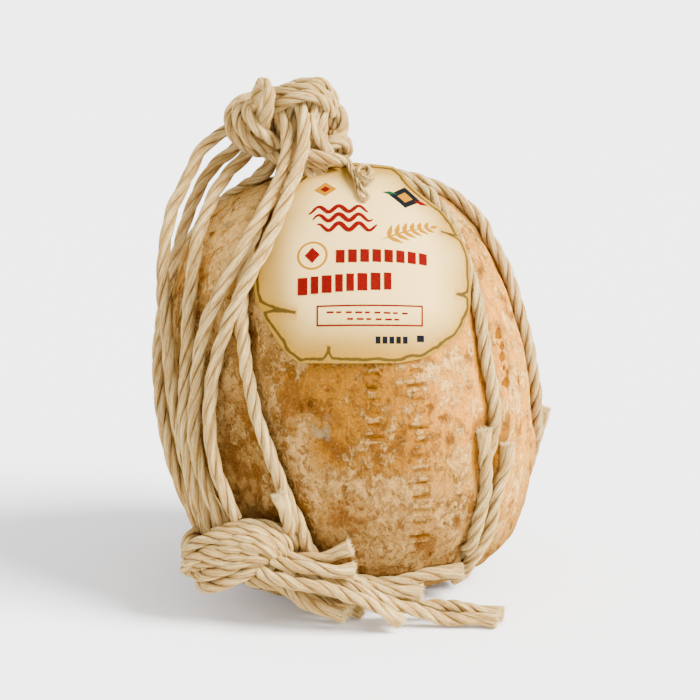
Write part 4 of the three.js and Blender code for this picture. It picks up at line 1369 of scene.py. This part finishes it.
def bottom_knot() -> Knot:
    """The knot at the left of the foot, with its slanting turns."""
    turns: dict[str, Route] = {
        "back_upper": [[-70, -58, 35], [-74, -64, 37.5], [-77.5, -69, 35.5], [-78, -74, 32]],
        "turn_1": [[-65, -80, 41.5], [-56.5, -84, 45.5], [-48.5, -85.5, 47.5], [-40.5, -85, 46.8],
            [-33.5, -83, 43.5], [-28.5, -80, 38.5], [-26.5, -76, 32.5]],
        "turn_2": [[-74, -66, 27], [-77.5, -75, 30], [-75, -82, 36], [-69, -85.5, 40.6],
            [-61, -88, 43.2], [-52.5, -89, 45], [-44.5, -90, 45.5], [-38, -88.5, 43.5],
            [-33, -85.5, 39.5], [-31, -80, 34]],
        "turn_3": [[-69, -85, 34.5], [-61, -89, 39], [-52.5, -91.5, 42], [-45, -92, 43],
            [-38.5, -91.5, 41], [-34, -88, 36.5], [-33.5, -82, 31]],
        "turn_4": [[-73.5, -66, 19], [-78, -74, 23], [-76, -82, 29], [-70, -86, 33.5], [-61, -90, 36.5],
            [-51.5, -92, 39.5], [-43.5, -93, 39.5], [-37.5, -91, 36.5], [-36, -86, 31.5]],
        "turn_5": [[-74, -80, 26.5], [-68, -86, 30], [-60, -90, 32.5], [-52, -92, 36],
            [-44.5, -92, 37]],
        "turn_6": [[-70, -69, 18], [-73, -77, 21.5], [-68.5, -86, 24], [-59, -90, 28.2],
            [-52, -92, 32.2], [-44.5, -92, 34.5], [-39, -89, 33]],
        "turn_7": [[-68, -69, 17], [-71, -76, 17.5], [-68.5, -83, 17.5], [-62.5, -87, 19.6],
            [-55.5, -90, 23.2], [-49, -91, 27], [-43.5, -89, 30], [-40, -85, 29.5]],
        "back_1": [[-76, -70, 33], [-68, -63, 33], [-58, -62, 36], [-47, -66, 38], [-38, -73, 37]],
        "back_2": [[-75, -70, 25], [-66, -63, 25.5], [-56, -63, 28], [-46, -67, 30], [-37, -75, 31]],
        "back_3": [[-70, -70, 18], [-62, -66, 18.5], [-53, -67, 21], [-45, -71, 23], [-39, -77, 26]],
    }
    cores = [((-60, -76, 30), (15, 13, 11)), ((-46, -79, 34), (13, 11, 10))]
    return Knot("knot_bottom", "bottom_knot", turns, cores, 200)


# ---------------- the tag
@dataclass
class TagSheet:
    """The tag's curved sheet: across from its bending line, and down from the crown."""

    profile: Profile
    middle: float = -6.5  # x of its bending line, mm
    bend: float = 86.0  # radius it is bent to, mm
    flat_below: float = 55.0  # nearer the crown than this it is bent less ...
    flatten: float = 1.6  # ... by this much radius for each mm
    lift: float = 1.7  # its middle layer over the skin, mm
    curl: float = 4.5  # how far it stands off at curl_reach above curl_start, mm
    curl_start: float = 40.0
    curl_reach: float = 25.0
    ride: float = 4.4  # how far its edge is lifted by the binding rope, mm
    ride_down: float = 66.0  # where down the sheet, and over how much of it
    ride_reach: float = 26.0
    ride_from: float = 38.0  # between which distances across it rises
    ride_to: float = 58.0
    # left and right edge for each distance down, mm
    edges: Route = (
        (13, 3, 23), (16, -8, 26), (19, -16, 28), (24, -20.5, 30.5), (31, -25, 35.5),
        (40, -28.5, 45.5), (50, -31.5, 52), (60, -35, 58.5), (70, -38, 61.5), (80, -41, 62),
        (91, -41.5, 62), (98.5, -39.5, 61.5), (105, -36.5, 59), (112, -32.5, 55.2),
        (119, -27.5, 45), (123, -23.5, 37.5), (125.5, -19.5, 25),
    )

    def at(self, across: Array, down: Array, lift: float | Array = 0.0) -> Array:
        """Points of the sheet in metres.

        The sheet follows the profile downwards at the front, and sideways it is bent to a
        radius that grows towards the crown, so that a point drops by bend (1 - cos(across /
        bend)) from the skin's normal. Its top stands off the crown by a square law, and its
        right edge rides over a binding rope by a bell down it and a smooth step across it.

        Args:
            across: mm from the bending line, towards +X.
            down: mm from the crown along the skin.
            lift: mm outwards from the sheet's middle layer.

        Returns:
            One point for each pair, on a new last axis.
        """
        line = self.profile.line[::-1]
        s = travelled(line)
        r, z = np.interp(down, s, line[:, 0]), np.interp(down, s, line[:, 1])
        near = 1.0
        dr = np.interp(down + near, s, line[:, 0]) - np.interp(down - near, s, line[:, 0])
        dz = np.interp(down + near, s, line[:, 1]) - np.interp(down - near, s, line[:, 1])
        length = np.hypot(dr, dz)
        bend = self.bend + self.flatten * np.maximum(0, self.flat_below - down)
        above = np.maximum(0, self.curl_start - np.asarray(down)) / self.curl_reach
        curl = self.curl * above**2
        ride = self.ride * np.exp(-(((down - self.ride_down) / self.ride_reach) ** 2))
        ride = ride * smooth(across, self.ride_from, self.ride_to)
        rise = bend * (np.cos(across / bend) - 1) + self.lift + lift + curl + ride
        return np.stack([self.middle + bend * np.sin(across / bend),
                         -(r - dz / length * rise), z + dr / length * rise], axis=-1) * MM


@dataclass
class PaperTag:
    """The paper tag: a thin bent sheet with rounded corners."""

    sheet: TagSheet
    thickness: float = 0.45  # mm
    rows: int = 170
    columns: int = 170
    line_inset: float = 2.0  # how far inside the rim the printed torn edge runs, mm
    # where the printed torn edge runs inwards: from and to across and down, half width, mm
    tears: tuple[tuple[float, float, float, float, float], ...] = (
        (58, 59, 46.5, 56.5, 2.4), (61.5, 91.5, 54, 92, 2.6), (-7, 125, -6.5, 119, 3.4),
        (-41.5, 99.4, -22.2, 103, 3.6),
    )
    # darker spots: painted shade of the knot and string near the top and a painted falloff across the
    # middle, with darker bottom and sides; across, down, half width, half height, strength
    shades: tuple[tuple[float, float, float, float, float], ...] = (
        (2, 21, 13, 5, 0.6), (4, 31, 6, 12, 0.5), (22, 18, 12, 4, 0.6), (0, 123, 50, 14, 0.8),
        (-32, 100, 10, 24, 0.5), (-34, 70, 8, 30, 0.35), (58, 80, 8, 40, 0.15),
        (-8, 80, 30, 50, 0.08),
    )
    curl: Array = field(init=False, repr=False)  # mm off the sheet, a row and column each

    def outline(self) -> tuple[Array, Array, Array]:
        """The distance down and the left and right edge at each row, on a smooth curve."""
        edges = catmull_rom(np.array(self.sheet.edges, float), 12)
        s = travelled(edges)
        even = np.linspace(0, s[-1], self.rows)
        return tuple(np.interp(even, s, edges[:, k]) for k in range(3))

    def rim_distance(self, across: Array, down: Array) -> Array:
        """The distance in mm from each point of the sheet to its rim."""
        rows, left, right = self.outline()
        rim = np.vstack([
            np.stack([left, rows], axis=1), np.stack([right, rows], axis=1),
            *(np.stack([np.linspace(left[k], right[k], 60), np.full(60, rows[k])], axis=1)
              for k in (0, -1)),
        ])
        flat = np.stack([across.ravel(), down.ravel()], axis=1)
        near = [np.sqrt(((part[:, None] - rim[None]) ** 2).sum(-1).min(1))
                for part in np.array_split(flat, 20)]
        return np.concatenate(near)

    def torn(self, flat: Array, inward: Array) -> Array:
        """The distance in mm to the printed torn edge, above 0 inside it: the distance to the
        rim less its inset, cut back by a wedge that narrows inwards for each tear.

        Args:
            flat: points of the sheet, across and down.
            inward: their distance to the rim.

        Returns:
            One distance for each point.
        """
        tear = inward - self.line_inset - 0.6 * lattice_noise(flat, 5, 7)
        for a, d, to_a, to_d, width in self.tears:
            toward = np.array([to_a - a, to_d - d], float)
            length = float(np.linalg.norm(toward))
            toward /= length
            e = flat[:, :2] - (a, d)
            along = e @ toward
            side = np.abs(e @ np.array([-toward[1], toward[0]]))
            wedge = side - width * np.clip(1 - along / length, 0, 1) ** 1.9
            cut = np.minimum(tear, np.maximum(wedge, along - length))
            tear = np.where(along < length + 2, cut, tear)
        return tear

    def shaded(self, flat: Array) -> Array:
        """How dark each point is, the tag's painted shade and darker edges: the summed bells of the
        darker spots, up to 0.8.
        """
        shade = sum(
            deep * np.exp(-(((flat[:, 0] - a) / wide) ** 2) - ((flat[:, 1] - d) / high) ** 2)
            for a, d, wide, high, deep in self.shades
        )
        return np.clip(shade, 0, 0.8)

    def rim_walk(self) -> Faces:
        """The vertices of the grid's rim, once round."""
        rows, columns = self.rows, self.columns
        return np.concatenate([
            np.arange(columns),
            np.arange(1, rows) * columns + columns - 1,
            (rows - 1) * columns + np.arange(columns - 2, -1, -1),
            np.arange(rows - 2, 0, -1) * columns,
        ])

    def build(self, finish: Material) -> None:
        """Makes the sheet, both faces and its edge."""
        rows, left, right = self.outline()
        share = np.linspace(0, 1, self.columns)[None]
        across = left[:, None] + (right - left)[:, None] * share
        down = np.broadcast_to(rows[:, None], across.shape)
        count = across.size
        inward = self.rim_distance(across, down)
        flat = np.stack([across.ravel(), down.ravel(), np.zeros(count)], axis=1)
        curl = 0.4 * fractal(flat, 26, 2, 5) * smooth(inward, 0, 14)
        curl += 0.6 * smooth(inward, 12, 0) * (0.4 + lattice_noise(flat, 30, 17))
        self.curl = curl.reshape(across.shape)
        half = self.thickness / 2
        layers = [self.sheet.at(across, down, self.curl + lift).reshape(-1, 3)
                  for lift in (half, -half)]
        quads = grid_quads(self.rows, self.columns, False)
        around = self.rim_walk()
        after = np.roll(around, -1)
        edge = np.stack([around, after, after + count, around + count], axis=1)
        surface = Surface(np.vstack(layers), [quads[:, ::-1], quads + count, edge], {
            "inward": np.tile(inward, 2), "tear": np.tile(self.torn(flat, inward), 2),
            "shade": np.tile(self.shaded(flat), 2),
        })
        dress(surface.build("tag_paper"), finish, ["tag"])


@dataclass(frozen=True)
class Stroke:
    """A printed shape: a ribbon along a line of the sheet, with half a width at each point."""

    line: Array
    half: Array

    @classmethod
    def bar(cls, left: float, right: float, top: float, bottom: float,
            lean: float = 0.0) -> Stroke:
        """A straight bar; lean is how much higher its right end is."""
        x = np.linspace(left, right, max(2, int(abs(right - left) / 1.2) + 2))
        y = (top + bottom) / 2 - lean * (x - left) / max(right - left, 1e-6)
        return cls(np.stack([x, y], axis=1), np.full(len(x), (bottom - top) / 2))

    @classmethod
    def ring(cls, middle: Spot, radius: float, half: float) -> Stroke:
        """A closed ring of even width."""
        a = np.linspace(0, 2 * math.pi, 49)
        line = np.stack([middle[0] + radius * np.cos(a), middle[1] + radius * np.sin(a)], axis=1)
        return cls(line, np.full(len(a), half))

    @classmethod
    def wave(cls, start: Spot, end: Spot, swing: float, length: float, half: float) -> Stroke:
        """A sine wave about a slanting line, thin at both ends."""
        t = np.linspace(0, 1, 60)
        x = start[0] + (end[0] - start[0]) * t
        y = start[1] + (end[1] - start[1]) * t + swing * np.sin(2 * math.pi * x / length)
        return cls(np.stack([x, y], axis=1), 0.2 + half * np.sin(math.pi * t) ** 0.5)

    @classmethod
    def leaf(cls, foot: Spot, length: float, angle: float, half: float) -> Stroke:
        """A leaf: a straight stroke at an angle, widest a third of the way out."""
        t = np.linspace(0, 1, 17)
        a = math.radians(angle)
        line = np.stack([foot[0] + length * t * math.cos(a), foot[1] - length * t * math.sin(a)],
                        axis=1)
        return cls(line, 0.05 + half * np.sin(math.pi * t**0.7))

    @classmethod
    def lozenge(cls, middle: Spot, half_wide: float, half_high: float) -> Stroke:
        """A square set on its corner."""
        t = np.linspace(-1, 1, 9)
        line = np.stack([middle[0] + half_wide * t, np.full(9, middle[1])], axis=1)
        return cls(line, half_high * (1 - np.abs(t)) + 0.02)


@dataclass
class TagPrint:
    """The tag's print, plain shapes in four inks; places and sizes are mm on the sheet."""

    paper: PaperTag
    over: float = 0.05  # between one ink and the next
    small_sign: Spot = (-8.5, 36)
    emblem: Spot = (28, 38)
    ringed: Spot = (-14, 77.4)
    sprig_foot: Spot = (17, 69)
    sprig_reach: float = 27
    sprig_angle: float = 30  # degrees
    sprig_pairs: int = 6
    # the ruled box: left, right, top, bottom, and how thick its rules are
    box: tuple[float, float, float, float] = (-12.0, 36.0, 100.4, 108.8)
    rule: float = 0.7
    inks: tuple[InkFinish, ...] = (
        InkFinish("ink_red", (92, 9, 7), (114, 20, 14)),
        InkFinish("ink_ochre", (146, 96, 0), (158, 106, 4)),
        InkFinish("ink_dark", (16, 18, 22), (38, 40, 40)),
        InkFinish("ink_green", (16, 56, 34), (44, 78, 48)),
    )

    def waves(self) -> list[Stroke]:
        """Three level waves, each lower and further right than the one before."""
        return [Stroke.wave((-16 + 2 * i, 53 + 5.2 * i), (11 + 2 * i, 52.4 + 5.2 * i),
                            1.9, 9, 0.95) for i in range(3)]

    def sprig(self) -> list[Stroke]:
        """A thin stem with pairs of leaves that get smaller, and one leaf at its tip."""
        x, y = self.sprig_foot
        right = self.sprig_reach * math.cos(math.radians(self.sprig_angle))
        up = self.sprig_reach * math.sin(math.radians(self.sprig_angle))
        strokes = [Stroke.leaf((x, y), self.sprig_reach, self.sprig_angle, 0.4),
                   Stroke.leaf((x + right, y - up), 4.5, self.sprig_angle, 0.9)]
        for share in (np.arange(self.sprig_pairs) + 0.8) / (self.sprig_pairs + 0.5):
            foot = (x + share * right, y - share * up)
            strokes += [Stroke.leaf(foot, 7.8 - 3.4 * share, self.sprig_angle + turn, 1.0)
                        for turn in (46, -46)]
        return strokes

    def blocks(self) -> list[Stroke]:
        """Two rows of upright blocks: eight alike, then eight taller ones of two widths."""
        upper = [Stroke.bar(-3.5 + 5.4 * i, 0.4 + 5.4 * i, 75.2 - 0.3 * i, 81.4 - 0.3 * i)
                 for i in range(8)]
        wide = (4.4, 3.4, 4.4, 3.4, 3.4, 4.4, 4.4, 3.4)
        left = -20.5 + np.r_[0, np.cumsum(wide)[:-1]] + 1.5 * np.arange(len(wide))
        return upper + [Stroke.bar(x, x + w, 86.4 - 0.07 * x, 94.2 - 0.07 * x)
                        for x, w in zip(left, wide)]

    def ruled_box(self) -> list[Stroke]:
        """A frame of thin rules that lean a little, round two rows of short dashes."""
        left, right, top, bottom = self.box
        frame = [Stroke.bar(left, right, top, top + self.rule, 1.0),
                 Stroke.bar(left, right, bottom, bottom + self.rule, 0.4),
                 Stroke.bar(left, left + self.rule, top + 0.5, bottom + 0.6),
                 Stroke.bar(right - self.rule, right, top - 0.8, bottom)]
        dashes = []
        for row, (first, count) in enumerate(((-7.5, 9), (1.5, 6))):
            y = top + 3.0 + 2.9 * row
            dashes += [Stroke.bar(x, x + 3.1 - 0.45 * ((i * 5 + row) % 3), y - 0.4, y + 0.4)
                       for i, x in enumerate(first + 4.2 * np.arange(count))]
        return frame + dashes

    def shapes(self) -> dict[str, list[Stroke]]:
        """Every printed shape by its ink, the lowest ink first."""
        lozenge, (x, y) = Stroke.lozenge, self.emblem
        dashes = [Stroke.bar(14 + 3.1 * i, 16.2 + 3.1 * i, 113.8, 117.0) for i in range(5)]
        return {
            "ink_dark": [lozenge(self.emblem, 7.6, 9.0), Stroke.bar(33, 36.5, 113.2, 116.2),
                         *dashes],
            "ink_ochre": [*self.sprig(), Stroke.ring(self.ringed, 6.4, 0.5),
                          lozenge(self.small_sign, 5.2, 6.6), lozenge(self.emblem, 3.6, 4.4)],
            "ink_green": [lozenge((x - 7, y - 1.5), 3.6, 1.5)],
            "ink_red": [*self.waves(), *self.blocks(), *self.ruled_box(),
                        lozenge(self.ringed, 3.4, 3.8), lozenge((x + 7.5, y + 1.5), 3.6, 1.5),
                        lozenge(self.small_sign, 2.2, 2.8)],
        }

    def ribbon(self, stroke: Stroke, layer: int) -> Surface:
        """A flat ribbon on the sheet: points of the line moved both ways along its normal."""
        slope = np.gradient(stroke.line, axis=0)
        slope /= np.maximum(np.linalg.norm(slope, axis=1, keepdims=True), 1e-9)
        normal = np.stack([-slope[:, 1], slope[:, 0]], axis=1)
        shares = np.linspace(-1, 1, 5)
        spots = stroke.line[:, None] + normal[:, None] * (stroke.half[:, None] * shares)[..., None]
        across, down = spots[..., 0], spots[..., 1]
        lift = self.paper_lift(across, down) + self.paper.thickness / 2 + self.over * layer
        verts = self.paper.sheet.at(across, down, lift).reshape(-1, 3)
        quads = grid_quads(len(stroke.line), len(shares), False)
        return Surface(verts, [quads[:, ::-1]])

    def paper_lift(self, across: Array, down: Array) -> Array:
        """The paper's own curl at each spot, blended from the four grid points round it."""
        rows, left, right = self.paper.outline()
        r = np.interp(down, rows, np.arange(len(rows)))
        share = (across - np.interp(down, rows, left)) / (
            np.interp(down, rows, right) - np.interp(down, rows, left))
        c = np.clip(share, 0, 1) * (self.paper.columns - 1)
        i = np.clip(r.astype(int), 0, self.paper.rows - 2)
        j = np.clip(c.astype(int), 0, self.paper.columns - 2)
        fr, fc = r - i, c - j
        curl = self.paper.curl
        return ((1 - fr) * (1 - fc) * curl[i, j] + fr * (1 - fc) * curl[i + 1, j]
                + (1 - fr) * fc * curl[i, j + 1] + fr * fc * curl[i + 1, j + 1])

    def build(self) -> None:
        """Makes one piece for each ink."""
        shapes = self.shapes()
        layers = {name: layer for layer, name in enumerate(shapes, start=1)}
        for ink in self.inks:
            surface = Surface.joined([self.ribbon(stroke, layers[ink.name])
                                      for stroke in shapes[ink.name]])
            dress(surface.build(f"tag_{ink.name}"), ink.build())


@dataclass
class TagString:
    """The thin string that holds the tag: two plies twisted together that turn back in a small
    loop, and a frayed hitch beside them."""

    sheet: TagSheet
    over: float = 2.5  # mm from the paper's middle layer to the string's centre
    route: Route = ((1.2, 14.8), (2.8, 19.8), (4, 26.8), (6, 35.5), (7.8, 42.5), (9.5, 46))
    ply: float = 0.95  # mm from the string's centre to a ply's
    turn: float = 70.0  # mm in which the plies go once round each other
    hitch: Spot = (9.2, 29.0)  # the middle of the hitch's loops
    # each loop's half width and half height, mm, its tilt in radians and its rise, mm
    loops: tuple[tuple[float, float, float, float], ...] = (
        (3.9, 3.2, 0.5, 1.2), (3.0, 3.9, -0.7, 2.2), (2.0, 2.8, 1.3, 3.2),
    )
    loose: int = 140  # fibres that stand out of the hitch

    def plies(self) -> Array:
        """The line of both plies, mm: down the route on one side of it, round the loop and up
        again on the other side, the side turning round the route as it goes."""
        spots = catmull_rom(np.array(self.route, float), 20)
        centre = evenly(self.sheet.at(spots[:, 0], spots[:, 1], self.over) / MM, 0.35)
        s = travelled(centre)
        along = np.gradient(centre, axis=0)
        along /= np.linalg.norm(along, axis=1, keepdims=True)
        side = np.cross(along, (0.0, -0.7, 0.7))
        side /= np.linalg.norm(side, axis=1, keepdims=True)
        up = np.cross(side, along)
        angle = 2 * math.pi * (s - s[-1]) / self.turn
        swing = self.ply * (1 + 0.5 * smooth(s, s[-1] - 7, s[-1] - 1))
        offset = swing[:, None] * (np.cos(angle)[:, None] * side + np.sin(angle)[:, None] * up)
        t = np.linspace(0, math.pi, 12)[1:-1]
        bow = (centre[-1] + swing[-1] * np.cos(t)[:, None] * side[-1]
               + 2.0 * np.sin(t)[:, None] * along[-1])
        return np.vstack([centre + offset, bow, (centre - offset)[::-1]])

    def hitch_loops(self) -> list[Array]:
        """The hitch's loops in metres: tilted ellipses over the sheet that rise to one side."""
        t = np.linspace(0, 2 * math.pi, 60)
        lines = []
        for wide, high, tilt, rise in self.loops:
            x, y = wide * np.cos(t), high * np.sin(t)
            across = self.hitch[0] + x * math.cos(tilt) - y * math.sin(tilt)
            down = self.hitch[1] + 1.5 * (x * math.sin(tilt) + y * math.cos(tilt))
            lines.append(self.sheet.at(across, down, self.over + 0.6 + rise * np.sin(t / 2)))
        return lines

    def fuzz(self) -> Surface:
        """Loose fibres scattered about the hitch."""
        rng = np.random.default_rng(9)
        spots = rng.normal(0, 1, (self.loose, 2)) * (2.0, 3.0) + (9.8, 29.0)
        roots = self.sheet.at(spots[:, 0], spots[:, 1],
                              self.over + rng.uniform(0, 2.2, self.loose))
        heading = rng.normal(0, 1, (self.loose, 3)) * (1, 0.6, 0.6) + (0.25, -0.5, 0.2)
        bend = rng.normal(0, 0.4, (self.loose, 3))
        reach = rng.uniform(1.2, 3.0, self.loose) * MM
        return hairs(roots, heading, bend, reach, 0.12 * MM)

    def build(self, finish: Material) -> None:
        """Makes the string and its hitch as one piece."""
        twine = LaidRope(STRING * 1.05, lay=24 * MM, spread=0.16, around=24, step=0.45 * MM)
        parts = [twine.tube(evenly(self.plies() * MM, 0.4 * MM), 301)]
        parts += [twine.tube(line, 303 + i) for i, line in enumerate(self.hitch_loops())]
        parts.append(self.fuzz())
        dress(Surface.joined(parts).build("tag_twine"), finish, ["tag_string"])


# ---------------- the studio
@dataclass
class Studio:
    """A pale floor that runs out of sight, soft daylight from the right and the camera."""

    target: tuple[float, float, float] = (-0.0038, 0.0, 0.109)
    distance: float = 1.0
    elevation: float = 12.0  # degrees
    millimetres_across: float = 336.0  # width of the frame at the target
    floor_half: float = 30.0  # metres
    floor_drop: float = 0.2 * MM  # keeps the floor clear of the foot
    floor_colour: Colour = (250, 250, 251)
    floor_shade: Colour = (225, 225, 227)
    floor_glow: float = 0.1
    sky: float = 1.65
    sun: float = 15.5
    sun_angle: float = 32.0  # degrees; a wide lamp, so soft shadows
    sun_colour: tuple[float, float, float] = (1.0, 0.985, 0.96)
    sun_from: tuple[float, float, float] = (1.0, -0.38, 0.86)

    def camera(self) -> None:
        """A camera in front, a little above the cheese, as wide as the frame at its target."""
        data = bpy.data.cameras.new("camera")
        data.sensor_width = 36
        data.lens = data.sensor_width * self.distance / (self.millimetres_across * MM)
        data.dof.use_dof = False
        data.clip_start, data.clip_end = 0.05, 100
        camera = bpy.data.objects.new("camera", data)
        tilt = math.radians(self.elevation)
        back = Vector((0, -math.cos(tilt), math.sin(tilt)))
        camera.location = Vector(self.target) + back * self.distance
        camera.rotation_euler = (-back).to_track_quat("-Z", "Y").to_euler()
        bpy.context.scene.collection.objects.link(camera)
        bpy.context.scene.camera = camera

    def floor(self) -> None:
        """A wide, pale, matt floor."""
        corners = np.array([[-1, -1, 0], [1, -1, 0], [1, 1, 0], [-1, 1, 0]]) * self.floor_half
        floor = Surface(corners - (0, 0, self.floor_drop), [np.array([[0, 1, 2, 3]])]).build(
            "floor")
        g = Graph("floor")
        tone = g.step(g.noise(g.place(), 2, 2), 0.3, 0.7, 0, 0.03)
        g.shader.inputs["Emission Color"].default_value = (1, 1, 1, 1)
        g.shader.inputs["Emission Strength"].default_value = self.floor_glow
        colour = g.mix(tone, srgb(self.floor_colour), srgb(self.floor_shade))
        floor.data.materials.append(g.finished(colour, 0.9, 0.1))

    def lights(self) -> None:
        """Even sky light and a broad soft lamp from the upper right."""
        world = bpy.data.worlds.new("sky")
        world.use_nodes = True
        background = world.node_tree.nodes["Background"]
        background.inputs["Color"].default_value = (1, 1, 1, 1)
        background.inputs["Strength"].default_value = self.sky
        bpy.context.scene.world = world
        sun = bpy.data.lights.new("sun", "SUN")
        sun.energy = self.sun
        sun.angle = math.radians(self.sun_angle)
        sun.color = self.sun_colour
        holder = bpy.data.objects.new("sun", sun)
        holder.rotation_euler = Vector(self.sun_from).to_track_quat("Z", "Y").to_euler()
        bpy.context.scene.collection.objects.link(holder)


def main() -> None:
    """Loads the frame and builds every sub-assembly."""
    logging.basicConfig(level=logging.INFO, format="%(message)s")
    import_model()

    studio = Studio()
    studio.camera()
    profile = Profile()
    rope_finish = RopeFinish().build()
    LooseEnds().build(rope_finish)
    harness = Harness(profile)
    harness.build(rope_finish)
    top_knot().build(rope_finish)
    bottom_knot().build(rope_finish)

    sunk = [
        route_line(points, 1.5 * MM) / MM
        for name, points in (harness.binding() | harness.held_ends()).items()
        if name.startswith(("binding", "upright"))
    ]
    cheese = CheeseBody(profile).surface(sunk).build("cheese_rind")
    dress(cheese, RindFinish().build(), ["cheese"])

    sheet = TagSheet(profile)
    tag = PaperTag(sheet)
    tag.build(PaperFinish().build())
    TagPrint(tag).build()
    TagString(sheet).build(rope_finish)

    studio.floor()
    studio.lights()


if __name__ == "__main__":
    main()
